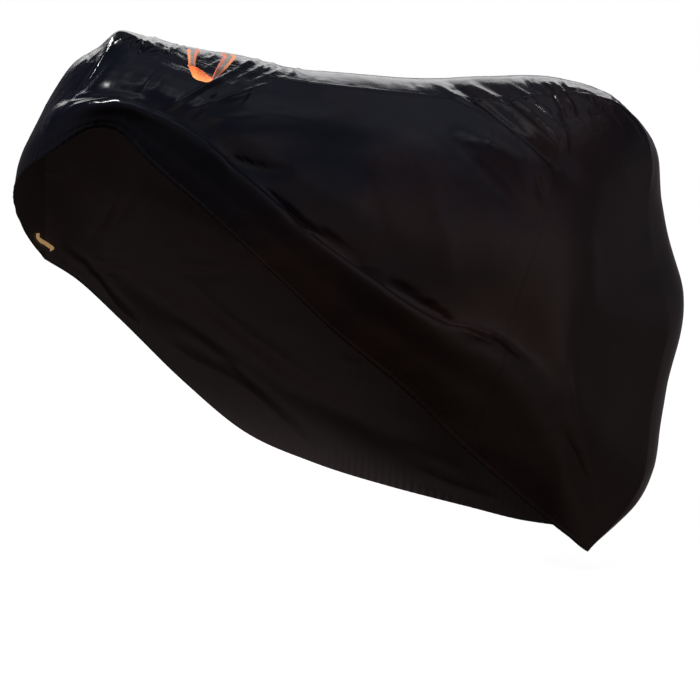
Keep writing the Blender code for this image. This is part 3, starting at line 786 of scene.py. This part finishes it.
# %% [markdown]
# ## The near side
# The whole side is made as one surface and cut at the upright seam afterwards, so every fold that crosses
# the seam meets itself. Its rows lie closest under the top seam and its columns closest at the nose, where
# the finest creases are, and rows are added at the pleat's ridge and at the hem, where the cloth turns
# sharply. The edges get the relief of their felled seams, the nose its stiff welt and the hem its channel.

# %% Places of rows and columns
def places(stops, counts):
    """Places from one stop to the next, with the given number of steps in each span."""
    spans = [np.linspace(a, b, n, endpoint=False) for a, b, n in zip(stops, stops[1:], counts)]
    return np.concatenate([*spans, [stops[-1]]])


def distance_along(surface, axis):
    """Distance from the grid's first row or column, measured over the surface."""
    steps = np.linalg.norm(np.diff(surface, axis=axis), axis=2)
    total = np.cumsum(steps, axis=axis)
    start = np.zeros_like(np.take(total, [0], axis=axis))
    return np.concatenate([start, total], axis=axis)


def from_edges(surface):
    """Distances over the surface from its four edges: top, hem, nose and tail."""
    down, along = distance_along(surface, 0), distance_along(surface, 1)
    return down, down[-1:] - down, along, along[:, -1:] - along


def from_column(surface, column):
    """Distance over the surface from one of its own columns."""
    along = distance_along(surface, 1)
    return np.abs(along - along[:, [column]])


SEAM_BAND, GROOVE = 0.009, 0.0016  # widths of a felled seam's raised band and of the groove beside it


def sewn_edge(points, distance, rise=0.0003, dip=0.0003):
    """Relief of a felled seam: a raised band beside the edge, and the groove of the join."""
    shown = 1.0 - 0.8 * ease(points[..., 0], 0.48, 0.60)  # it is pressed nearly flat towards the tail
    band = ease(distance, 0.0, 0.002) * (1.0 - ease(distance, SEAM_BAND - 0.001, SEAM_BAND + 0.001))
    return shown * (rise * band - dip * np.exp(-((distance / GROOVE) ** 2)))


WELT_HEIGHTS = [1.250, 1.268, 1.285, 1.310, 1.333, 1.355]  # places down the nose, above the ground
WELT_STEEPNESS = [0.00, 0.66, 0.53, 0.27, 0.15, 0.00]
WELT_WIDTH = 0.0065
WELT_WIDEST = (-0.630, 1.350, 0.13, 0.12)  # x, height and two radii of where it is up to twice as wide
WELT_END_X = -0.55


def nose_welt(points, distance):
    """The stiff seam that stands up along the nose: widest under the peak, steepest near its lower end."""
    steep = np.interp(points[..., 2] + REST_HEIGHT, WELT_HEIGHTS, WELT_STEEPNESS)
    steep = steep * (points[..., 0] < WELT_END_X)
    width = WELT_WIDTH + WELT_WIDTH * near_place(points, *WELT_WIDEST)
    return steep * width * np.exp(-((distance / width) ** 2))


HEM_WIDTH = 0.013
PLUMP = 0.0012  # height of the channel round the elastic
STITCH_DIP, STITCH_WIDTH = 0.0006, 0.0018  # of the stitched line above it
GATHER_STEP = 0.0105  # from a gather's crest to the hollow after it
GATHER_DRIFT = 0.083  # the gathers draw together and apart again over about six times this length
GATHER_REACH = 0.030  # how far above the hem they fade


def hem_channel(distance, along, gather):
    """Relief of a hem: a plump channel round the elastic, a stitched line above it, and its gathers."""
    inside = np.clip(distance / HEM_WIDTH, 0.0, 1.0)
    plump = PLUMP * np.sin(math.pi * inside) ** 0.7
    stitched = -STITCH_DIP * np.exp(-(((distance - HEM_WIDTH) / STITCH_WIDTH) ** 2))
    ripples = np.sin(along / GATHER_STEP * math.pi + 2.0 * np.sin(along / GATHER_DRIFT))
    ripples = ripples * np.exp(-(distance / GATHER_REACH))
    return plump + stitched + gather * ripples


# %% The near side's surface and heights
front_u = places([0.0, 0.02, 0.10, 0.33, 0.58, NEAR_SEAM_U], [26, 96, 104, 44, 76])
near_u = np.unique(np.concatenate([front_u, np.linspace(NEAR_SEAM_U, 1.0, 151)]))
near_v = places([0.0, 0.12, 0.30, 0.55, 0.60, 0.67, 0.95, 1.0], [44, 26, 22, 8, 16, 14, 6])
near_base = broad_folds(side_surface(near_loft, near_u, near_v), BROAD_NEAR_FOLDS, near_v, NEAR)
from_top, from_hem, from_nose, from_tail = from_edges(near_base)
near_free = ease(from_top, 0.0, 0.030) * ease(from_nose, 0.0, 0.03) * ease(from_tail, 0.0, 0.03)


def outer_height(points):
    """Height of the outer cloth's folds and crumples, which depends on the place alone."""
    slack = slackness(points)
    fine = crumple(points, size=0.050, seed=3, stretch=(0.9, 1.0, 1.3))
    broad = crumple(points, size=0.19, seed=8, stretch=(0.8, 1.0, 1.2), octaves=2)
    return fold_heights(points, near_strokes) + (0.0008 * slack + 0.0002) * fine + 0.0012 * broad


near_height = outer_height(near_base) * ease(from_tail, 0.0, 0.03)
near_height += hem_channel(from_hem, from_nose, gather=0.0004)
for distance in (from_top, from_nose, from_tail):
    near_height += sewn_edge(near_base, distance)
near_height += nose_welt(near_base, from_nose)
seam_column = int(np.searchsorted(near_u, NEAR_SEAM_U - 1e-9))
to_seam = from_column(near_base, seam_column)
near_height += sewn_edge(near_base, to_seam, rise=0.0001, dip=0.0)

near_surface = pushed_out(near_base, TO_NEAR, near_height, near_free)
print("near side:", near_surface.shape[:2], "highest fold", round(float(near_height.max()) * 1000, 1), "mm")

# %% Cut at the upright seam
near_front_surface, near_rear_surface = near_surface[:, : seam_column + 1], near_surface[:, seam_column:]
near_front = sheet_object("near_front_cloth", near_front_surface, NYLON)
near_rear = sheet_object("near_rear_cloth", near_rear_surface, NYLON)
print("columns: front", near_front_surface.shape[1], "and rear", near_rear_surface.shape[1])

# %% [markdown]
# ## The far side
# It hangs straighter and lower, and its inner face is what the photograph shows, so its folds are pushed
# towards the inside. Along the hem's elastic the cloth is gathered into short ripples, which are deeper
# towards the tail.

# %% The far side's surface and its two panels
far_u = np.unique(np.concatenate([np.linspace(0.0, FAR_SEAM_U, 231), np.linspace(FAR_SEAM_U, 1.0, 131)]))
far_v = places([0.0, 0.03, 0.94, 1.0], [6, 84, 12])
far_base = broad_folds(side_surface(far_loft, far_u, far_v), BROAD_FAR_FOLDS, far_v, FAR)
far_top, far_hem, far_nose, far_tail = from_edges(far_base)
far_free = ease(far_top, 0.0, 0.03) * ease(far_nose, 0.0, 0.02) * ease(far_tail, 0.0, 0.03)
INWARDS = -1.4  # the strokes were drawn on the inner face, and stand out a little more than drawn
far_height = INWARDS * fold_heights(far_base, FAR_FOLDS)
far_height += 0.0006 * crumple(far_base, size=0.075, seed=5, stretch=(1.2, 1.0, 0.8))
far_height += 0.0022 * crumple(far_base, size=0.26, seed=11, stretch=(1.1, 1.0, 0.8), octaves=2)
far_height *= far_free
gather = 0.0006 + 0.0022 * ease(far_u, 0.55, 0.72)[None]
far_height += hem_channel(far_hem, far_nose, gather)
for distance in (far_top, far_nose, far_tail):
    far_height += 0.2 * sewn_edge(far_base, distance)
far_column = int(np.searchsorted(far_u, FAR_SEAM_U - 1e-9))
far_height += sewn_edge(far_base, from_column(far_base, far_column))
far_outer = far_base + normals_of(far_base, TO_FAR) * far_height[..., None]
far_surface = far_outer[:, ::-1]  # turned round, so that its faces look outwards too
cut = far_surface.shape[1] - 1 - far_column
far_front_surface, far_rear_surface = far_surface[:, cut:], far_surface[:, : cut + 1]
far_front = sheet_object("far_front_cloth", far_front_surface, NYLON)
far_rear = sheet_object("far_rear_cloth", far_rear_surface, NYLON)
print("far side:", far_surface.shape[:2])

# %% [markdown]
# ## The gusset
# One strip, arched over its crown line, from hem to hem. Its edges follow the same seam lines as the sides.
# Along the top it is lit from above, so it shows the most: short crumples run across it where the cloth is
# bunched up by the handle.

# %% The gusset's surface
strip_v = places([0.0, 0.08, 0.50, 0.92, 1.0], [16, 34, 14, 4])
nose_u = places([0.0, 0.5, 1.0], [110, 50])[::-1]
top_u = places([0.0, 0.14, 0.35, 1.0], [130, 90, 150])
tail_u = places([0.0, 1.0], [160])


def gusset_edge(loft):
    """Places along the gusset that one side's edges follow, from the nose hem to the tail hem."""
    nose = through(loft["v"], loft["nose_t"], nose_u)
    top = PEAK + (SHOULDER - PEAK) * through(loft["u"], loft["tops"], top_u)
    tail = through(loft["v"], loft["tail_t"], tail_u)
    return np.concatenate([nose[:-1], top[:-1], tail])


near_t, far_t = gusset_edge(near_loft), gusset_edge(far_loft)
near_seam = through(strip_knots, seam_points["near"], near_t)
far_seam = through(strip_knots, seam_points["far"], far_t)
crown_line = through(strip_knots, crown_points, (near_t + far_t) / 2.0)
w = strip_v[None, :, None]  # each row is the parabola through its three points: seam, crown and seam
gusset_base = near_seam[:, None] * (1 - w) * (1 - 2 * w) + crown_line[:, None] * 4 * w * (1 - w)
gusset_base += far_seam[:, None] * w * (2 * w - 1)
from_nose_hem, from_tail_hem, from_near, from_far = from_edges(gusset_base)
strip_free = ease(from_near, 0.0, 0.030) * ease(from_far, 0.0, 0.020)
near_half = ease(-gusset_base[..., 1], -0.04, 0.04)  # the half beside the near side, which shows, is crumpled
strip_height = outer_height(gusset_base) * near_half * ease(from_tail_hem, 0.9, 1.3)
swells = crumple(gusset_base, size=0.17, seed=9, stretch=(1.0, 0.6, 1.0), octaves=2)
strip_height += 0.0010 * swells * strip_free
strip_height += sewn_edge(gusset_base, from_near) + sewn_edge(gusset_base, from_far)
strip_height += nose_welt(gusset_base, from_near)
nose_hem = hem_channel(from_nose_hem, from_near, gather=0.0010)
tail_hem = hem_channel(from_tail_hem, from_near, gather=0.0016)
strip_height += nose_hem + tail_hem
gusset_surface = pushed_out(gusset_base, TO_SKY, strip_height, strip_free)
gusset = sheet_object("gusset_cloth", gusset_surface, NYLON)
print("gusset:", gusset_surface.shape[:2])

# %% [markdown]
# ## The webbing
# The handle is a flat woven tape, 30 mm wide: orange at both edges, with a grey reflective stripe along the
# middle of its face and a plain orange back. It is sewn down at both ends, folded over at its left corner
# and twisted at its right one. The tape is given by its two edges, and a UV layer along and across it
# carries the stripe and the weave.

# %% Edges of the two tapes
HANDLE_EDGES = [  # x, y, height of one edge, then of the other
    (-0.455, -0.066, 1.3515, -0.425, -0.066, 1.3470),
    (-0.456, -0.098, 1.3455, -0.426, -0.098, 1.3405),
    (-0.460, -0.136, 1.3400, -0.434, -0.122, 1.3400),
    (-0.465, -0.184, 1.3290, -0.444, -0.163, 1.3300),
    (-0.468, -0.215, 1.3210, -0.450, -0.189, 1.3190),
    (-0.471, -0.240, 1.3160, -0.455, -0.216, 1.3070),
    (-0.471, -0.254, 1.3130, -0.464, -0.256, 1.2890),
    (-0.460, -0.255, 1.3110, -0.458, -0.262, 1.2840),
    (-0.444, -0.248, 1.3025, -0.448, -0.266, 1.2805),
    (-0.432, -0.242, 1.2940, -0.437, -0.266, 1.2780),
    (-0.421, -0.235, 1.2860, -0.427, -0.264, 1.2810),
    (-0.410, -0.222, 1.2890, -0.420, -0.251, 1.2910),
    (-0.396, -0.204, 1.2960, -0.411, -0.230, 1.3030),
    (-0.375, -0.162, 1.3080, -0.398, -0.182, 1.3150),
    (-0.355, -0.120, 1.3215, -0.382, -0.132, 1.3280),
    (-0.344, -0.094, 1.3275, -0.373, -0.092, 1.3330),
    (-0.343, -0.060, 1.3350, -0.373, -0.060, 1.3405),
]
HEM_LOOP_EDGES = [  # as HANDLE_EDGES
    (-0.791, 0.1900, 0.9070, -0.798, 0.1825, 0.9080),
    (-0.792, 0.1895, 0.8990, -0.799, 0.1835, 0.8980),
    (-0.787, 0.1955, 0.8930, -0.793, 0.1905, 0.8870),
    (-0.774, 0.2170, 0.8820, -0.780, 0.2130, 0.8750),
    (-0.762, 0.2330, 0.8710, -0.769, 0.2320, 0.8640),
    (-0.756, 0.2415, 0.8640, -0.765, 0.2385, 0.8600),
    (-0.757, 0.2427, 0.8590, -0.766, 0.2387, 0.8550),
]


def tape_surface(edges, steps, strands):
    """Rows of points between a tape's two edges, and their UVs: share across, metres along."""
    table = np.array(edges)
    table[:, [2, 5]] -= REST_HEIGHT
    middle = (table[:, :3] + table[:, 3:]) / 2.0
    knots = path_knots(middle)
    at = places(knots, [steps] * (len(knots) - 1))
    one, other = through(knots, table[:, :3], at), through(knots, table[:, 3:], at)
    share = np.linspace(0.0, 1.0, strands + 1)
    surface = one[:, None] * (1.0 - share)[None, :, None] + other[:, None] * share[None, :, None]
    length = distance_along(through(knots, middle, at)[:, None], 0)[:, 0]
    uv = np.stack(np.broadcast_arrays(share[None, :], length[:, None]), axis=2)
    return surface, uv, float(length[-1])


# %% Webbing finishes
PAINTED_GLOW = 0.30  # painted light: the tapes give off a little light in their own colours, grey stripe included, so they look brighter than the soft boxes make them; the orange dye itself is fluorescent
RIB_WAVE, PICK_WAVE = 150.0, 5200.0  # radians of the two waves: ribs over the tape's width, picks per metre


def webbing_material(name, stops, roughness):
    """Woven tape, coloured across its width, with a painted glow in its colours, ribs along it and picks
    across it.
    """
    made, tree, shader = new_material(
        name, (0.7, 0.2, 0.05), roughness, Sheen_Weight=0.25, Sheen_Roughness=0.4, Emission_Strength=PAINTED_GLOW
    )
    split = node(tree, "ShaderNodeSeparateXYZ")
    tree.links.new(node(tree, "ShaderNodeUVMap", uv_map="along").outputs["UV"], split.inputs["Vector"])
    colour = ramp(tree, split.outputs["X"], stops)
    tree.links.new(colour, shader.inputs["Base Color"])
    # painted light: the tape glows in the colours of its weave
    tree.links.new(colour, shader.inputs["Emission Color"])
    ribs = calculated(tree, "SINE", calculated(tree, "MULTIPLY", split.outputs["X"], RIB_WAVE))
    picks = calculated(tree, "SINE", calculated(tree, "MULTIPLY", split.outputs["Y"], PICK_WAVE))
    weave = calculated(tree, "MULTIPLY", ribs, picks)
    tree.links.new(bump(tree, weave, 0.5, 0.0004), shader.inputs["Normal"])
    return made


EDGE_PINK, EDGE_ORANGE, STRIPE_GREY = (0.72, 0.15, 0.07), (0.86, 0.26, 0.08), (0.23, 0.20, 0.17)
HANDLE_STOPS = [  # place across the tape, colour
    (0.00, EDGE_ORANGE),
    (0.27, EDGE_ORANGE),
    (0.30, STRIPE_GREY),
    (0.70, STRIPE_GREY),
    (0.73, EDGE_PINK),
    (1.00, EDGE_PINK),
]
BACK_STOPS = [(0.0, (0.95, 0.16, 0.030)), (1.0, (1.0, 0.36, 0.10))]
HEM_LOOP_STOPS = [(0.0, (0.90, 0.52, 0.20)), (1.0, (0.95, 0.60, 0.28))]
handle_face = webbing_material("handle_face", HANDLE_STOPS, 0.62)
orange_webbing = webbing_material("orange_webbing", BACK_STOPS, 0.65)
hem_loop_tape = webbing_material("hem_loop_tape", HEM_LOOP_STOPS, 0.65)
print("webbing materials:", handle_face.name, orange_webbing.name, hem_loop_tape.name)

# %% The handle and the small loop at the nose hem
TAPE_THICKNESS = 0.0016
handle_points, handle_uv, handle_length = tape_surface(HANDLE_EDGES, steps=8, strands=12)
handle_faces = [handle_face, orange_webbing]
handle = sheet_object("handle_webbing", handle_points, handle_faces, TAPE_THICKNESS, handle_uv)
handle.visible_glossy = False  # keeps its orange out of the cloth's reflections
loop_points, loop_uv, loop_length = tape_surface(HEM_LOOP_EDGES, steps=8, strands=6)
loop_faces = [hem_loop_tape, hem_loop_tape]
hem_loop = sheet_object("hem_loop_webbing", loop_points, loop_faces, TAPE_THICKNESS, loop_uv)
print("handle", round(handle_length, 3), "m, hem loop", round(loop_length, 3), "m")

# %% [markdown]
# ## Stitching
# Two rows of short stitches in black thread run along the top seams and down the near side's upright seam,
# and one row runs along each hem. At this distance they only break the light along the seams, but close up
# they show how the cover is made. Each stitch is a small six-sided bead, laid on the outer face along a
# line of the folded surface.

# %% Rows of stitches
thread_material, thread_tree, thread_shader = new_material(
    "black_thread", (0.005, 0.005, 0.006), 0.8, Specular_IOR_Level=0.2
)
thread_where = node(thread_tree, "ShaderNodeTexCoord").outputs["Object"]
twist = noise_texture(thread_tree, thread_where, scale=2500.0, detail=2.0)
thread_tree.links.new(bump(thread_tree, twist, 0.4, 0.0002), thread_shader.inputs["Normal"])

STITCH_LENGTH, STITCH_PITCH, THREAD_RADIUS = 0.0030, 0.0042, 0.00045
SIDES = 6
RING_PLACES = (-0.3, 0.3)  # where a stitch's two rings stand, in shares of its length from its middle
LIFT, TIP_DIP = 0.4, 0.6  # how far a stitch stands off the face and its tips dip, in thread radii


def stitch_row(line, normals):
    """Centres, directions and normals of stitches along a line of points."""
    knots = np.concatenate([[0.0], np.cumsum(np.linalg.norm(np.diff(line, axis=0), axis=1))])
    at = np.arange(STITCH_PITCH, knots[-1] - STITCH_PITCH, STITCH_PITCH)

    def read(values, where):
        return np.stack([np.interp(where, knots, values[:, k]) for k in range(3)], axis=1)

    heading = read(line, at + 0.5 * STITCH_LENGTH) - read(line, at - 0.5 * STITCH_LENGTH)
    heading /= np.linalg.norm(heading, axis=1)[:, None]
    up = read(normals, at)
    up /= np.linalg.norm(up, axis=1)[:, None]
    return read(line, at), heading, up


def stitching(name, rows):
    """One mesh of stitches along several lines, each given as points and normals."""
    parts = [stitch_row(line, normals) for line, normals in rows]
    centre, heading, up = (np.concatenate(values) for values in zip(*parts))
    side = np.cross(heading, up)
    lifted = centre + up * (0.5 * CLOTH_THICKNESS + LIFT * THREAD_RADIUS)
    angles = np.linspace(0.0, 2.0 * math.pi, SIDES, endpoint=False)
    half, dip = heading * (0.5 * STITCH_LENGTH), up * (TIP_DIP * THREAD_RADIUS)
    points = [lifted - half - dip]
    for place in RING_PLACES:
        middle = lifted + heading * (place * STITCH_LENGTH)
        points += [middle + (side * math.cos(a) + up * math.sin(a)) * THREAD_RADIUS for a in angles]
    points.append(lifted + half - dip)
    count = len(points)
    one, other, last = 1, 1 + SIDES, 1 + 2 * SIDES  # first points of the two rings, and the far tip
    pairs = [(k, (k + 1) % SIDES) for k in range(SIDES)]
    faces = [(0, one + b, one + a) for a, b in pairs]
    faces += [(one + a, one + b, other + b, other + a) for a, b in pairs]
    faces += [(last, other + a, other + b) for a, b in pairs]
    vertices = np.stack(points, axis=1).reshape(-1, 3)
    everything = [tuple(i + count * s for i in face) for s in range(len(centre)) for face in faces]
    mesh = bpy.data.meshes.new(name)
    mesh.from_pydata(vertices.tolist(), [], everything)
    mesh.materials.append(thread_material)
    mesh.shade_smooth()
    print(name, len(centre), "stitches")
    return add_object(name, mesh)


def row_at(surface, normals, distances, wanted, axis):
    """The line of the surface at a given distance from an edge, with its normals."""
    if axis == 1:
        surface, normals, distances = surface.swapaxes(0, 1), normals.swapaxes(0, 1), distances.T
    lines = []
    for values in (surface, normals):
        line = [[np.interp(wanted, distances[:, c], values[:, c, k]) for k in range(3)]
                for c in range(values.shape[1])]
        lines.append(np.array(line))
    return lines


# %% Stitch lines on seams and hems
SEAM_ROWS = (0.003, 0.008)  # how far the two rows lie from a seam
near_normals = normals_of(near_surface, TO_NEAR)
far_normals = normals_of(far_outer, TO_FAR)
strip_normals = normals_of(gusset_surface, TO_SKY)

near_rows = [row_at(near_surface, near_normals, from_top, gap, 0) for gap in SEAM_ROWS]
near_rows.append(row_at(near_surface[::-1], near_normals[::-1], from_hem[::-1], HEM_WIDTH, 0))
behind_seam = [values[:, seam_column:] for values in (near_surface, near_normals, to_seam)]
near_rows += [row_at(*behind_seam, gap, 1) for gap in SEAM_ROWS]
near_stitches = stitching("near_stitching", near_rows)

far_rows = [row_at(far_outer, far_normals, far_top, gap, 0) for gap in SEAM_ROWS]
far_rows.append(row_at(far_outer[::-1], far_normals[::-1], far_hem[::-1], HEM_WIDTH, 0))
far_stitches = stitching("far_stitching", far_rows)

gusset_rows = [
    row_at(gusset_surface, strip_normals, from_nose_hem, HEM_WIDTH, 0),
    row_at(gusset_surface[::-1], strip_normals[::-1], from_tail_hem[::-1], HEM_WIDTH, 0),
]
gusset_stitches = stitching("gusset_stitching", gusset_rows)

# %% [markdown]
# ## Floor and light
# The cover was shot for a catalogue, on a plain pale ground. A bright, soft light from above and behind
# puts a white edge along the top and on every fold that faces up. Black satin shows only what it mirrors,
# so two kinds of light are needed: soft boxes for the bright edges, and a dim studio all round, brighter in
# some directions than in others, for the quiet tones between. The camera sees plain white in the studio's
# place. The floor gives off its own pale light, and it is kept out of the cloth's reflections, or the cloth
# would turn grey from below.

# %% Floor
FLOOR_SIZE = 60.0
floor_material, floor_tree, floor_shader = new_material("pale_floor", (0.22, 0.22, 0.22), 0.9)
floor_where = node(floor_tree, "ShaderNodeTexCoord").outputs["Object"]
floor_middle = node(floor_tree, "ShaderNodeMapping")
floor_middle.inputs["Scale"].default_value = (0.22, 0.22, 1.0)
floor_tree.links.new(floor_where, floor_middle.inputs["Vector"])
floor_fade = node(floor_tree, "ShaderNodeTexGradient", gradient_type="SPHERICAL")  # falls to 0 far off, and with it a faint painted shadow under the cover
floor_tree.links.new(floor_middle.outputs["Vector"], floor_fade.inputs["Vector"])
# painted shadow: the floor's glow dims a little towards the middle, under the cover, from 1.0 far off to 0.96
floor_glow_painted_shadow = ramp(floor_tree, floor_fade.outputs["Fac"], [(0.0, (1.0, 1.0, 1.0)), (0.9, (0.96, 0.96, 0.96))])
floor_tree.links.new(floor_glow_painted_shadow, floor_shader.inputs["Emission Color"])
floor_shader.inputs["Emission Strength"].default_value = 1.0
floor_mesh = bpy.data.meshes.new("floor")
corners = [(-1, -1), (1, -1), (1, 1), (-1, 1)]
floor_mesh.from_pydata([(x * FLOOR_SIZE, y * FLOOR_SIZE, 0.0) for x, y in corners], [], [(0, 1, 2, 3)])
floor_mesh.materials.append(floor_material)
floor = add_object("floor", floor_mesh)
floor.location = (0.0, 0.0, -REST_HEIGHT)
floor.visible_glossy = False
floor.visible_diffuse = False

# %% World: white behind the object, a dim studio for its lighting
def rescaled(tree, value, low, high, at_low=0.0):
    """A value rescaled, so that it is at_low at low and 1 at high, and kept between the two."""
    made = node(tree, "ShaderNodeMapRange")
    made.inputs["From Min"].default_value = low
    made.inputs["From Max"].default_value = high
    made.inputs["To Min"].default_value = at_low
    tree.links.new(value, made.inputs["Value"])
    return made.outputs["Result"]


world = bpy.data.worlds.new("studio")
bpy.context.scene.world = world
world.use_nodes = True
sky = world.node_tree
backdrop = sky.nodes["Background"]
backdrop.inputs["Color"].default_value = (1.0, 1.0, 1.0, 1.0)
backdrop.inputs["Strength"].default_value = 1.0
way = node(sky, "ShaderNodeSeparateXYZ")
sky.links.new(node(sky, "ShaderNodeTexCoord").outputs["Generated"], way.inputs["Vector"])
STUDIO = [  # height on the sky from straight down to straight up, and the studio's colour there
    (0.02, (0.060, 0.042, 0.038)),
    (0.10, (0.160, 0.112, 0.102)),
    (0.20, (0.200, 0.160, 0.155)),
    (0.30, (0.290, 0.235, 0.232)),
    (0.48, (0.345, 0.295, 0.320)),
    (0.66, (0.175, 0.172, 0.235)),
    (0.80, (0.130, 0.145, 0.190)),
    (0.90, (0.200, 0.205, 0.260)),
    (0.96, (0.310, 0.322, 0.380)),
    (1.00, (0.380, 0.400, 0.470)),
]
ACROSS = [  # from straight left to straight right, and how bright the studio is there
    (0.30, (0.28,) * 3),
    (0.50, (0.40,) * 3),
    (0.61, (0.70,) * 3),
    (0.73, (0.88,) * 3),
    (0.82, (0.55,) * 3),
    (0.92, (0.42,) * 3),
]
upward_share = rescaled(sky, way.outputs["Z"], -1.0, 1.0)
rightward_share = rescaled(sky, way.outputs["X"], -1.0, 1.0)
front = rescaled(sky, way.outputs["Y"], 0.45, -0.10, at_low=0.60)  # the studio is dimmer behind the cover
ambient = node(sky, "ShaderNodeBackground")
sky.links.new(ramp(sky, upward_share, STUDIO), ambient.inputs["Color"])
strength = calculated(sky, "MULTIPLY", front, ramp(sky, rightward_share, ACROSS))
sky.links.new(strength, ambient.inputs["Strength"])
choose = node(sky, "ShaderNodeMixShader")
sky.links.new(node(sky, "ShaderNodeLightPath").outputs["Is Camera Ray"], choose.inputs["Fac"])
sky.links.new(ambient.outputs["Background"], choose.inputs[1])
sky.links.new(backdrop.outputs["Background"], choose.inputs[2])
sky.links.new(choose.outputs["Shader"], sky.nodes["World Output"].inputs["Surface"])


# %% Soft boxes
def soft_box(name, place, target, width, depth, power, colour):
    """A rectangular area light that faces a target."""
    light = bpy.data.lights.new(name, "AREA")
    light.shape = "RECTANGLE"
    light.size, light.size_y = width, depth
    light.energy = power
    light.color = colour
    made = add_object(name, light)
    made.location = place
    made.rotation_euler = (Vector(target) - Vector(place)).to_track_quat("-Z", "Y").to_euler()


soft_box("back", (0.60, 3.0, 1.25), (0.0, 0.0, 0.0), 4.0, 1.35, 22.0, (1.0, 1.0, 1.0))
soft_box("front_left", (-2.13, -1.30, 1.87), (-0.68, -0.17, 0.03), 1.1, 0.5, 115.0, (1.0, 1.0, 1.0))
soft_box("over_front", (-0.30, -1.70, 2.45), (-0.30, -0.30, 0.0), 1.2, 0.8, 1.6, (0.92, 0.95, 1.0))
bpy.context.scene.view_settings.view_transform = "Standard"
bpy.context.scene.view_settings.look = "None"
print("soft boxes:", ", ".join(sorted(light.name for light in bpy.data.lights)))

# %% [markdown]
# ## Joining the model
# Nothing moves on its own here, so every piece rides on the one body. Each cloth and tape hides the part of
# the model it stands for, and its table gives how large it was when cut, flat.

# %% Rides and replaced parts
CLOTHS = [  # piece, part it stands for, cut width and length, flat area, how it is held
    (near_front, "near_front_panel", (1.30, 1.35), 0.95, "draped"),
    (near_rear, "near_rear_panel", (0.70, 1.25), 0.60, "draped"),
    (far_front, "far_front_panel", (1.25, 1.15), 1.00, "draped"),
    (far_rear, "far_rear_panel", (0.65, 1.20), 0.60, "draped"),
    (gusset, "gusset", (0.42, 3.70), 1.20, "draped"),
]
for piece, part, flat, area, held in CLOTHS:
    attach(piece, "root")
    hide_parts(part)
TAPES = [(handle, "top_loop", (0.030, handle_length)), (hem_loop, "hem_loop", (0.010, loop_length))]
for piece, part, flat in TAPES:
    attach(piece, "root")
    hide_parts(part)
for piece in (near_stitches, far_stitches, gusset_stitches):
    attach(piece, "root")


# %% Flat sizes
def cloth_area(surface):
    """Area of a grid of points, in square metres."""
    a, b = surface[1:, :-1] - surface[:-1, :-1], surface[:-1, 1:] - surface[:-1, :-1]
    c, d = surface[1:, 1:] - surface[1:, :-1], surface[1:, 1:] - surface[:-1, 1:]
    halves = np.linalg.norm(np.cross(a, b), axis=2) + np.linalg.norm(np.cross(c, d), axis=2)
    return float(halves.sum()) / 2.0


surfaces = {
    near_front.name: near_front_surface,
    near_rear.name: near_rear_surface,
    far_front.name: far_front_surface,
    far_rear.name: far_rear_surface,
    gusset.name: gusset_surface,
}
for piece, part, flat, area, held in CLOTHS:
    print(piece.name, "surface", round(cloth_area(surfaces[piece.name]), 3), "of", area, "square metres cut")
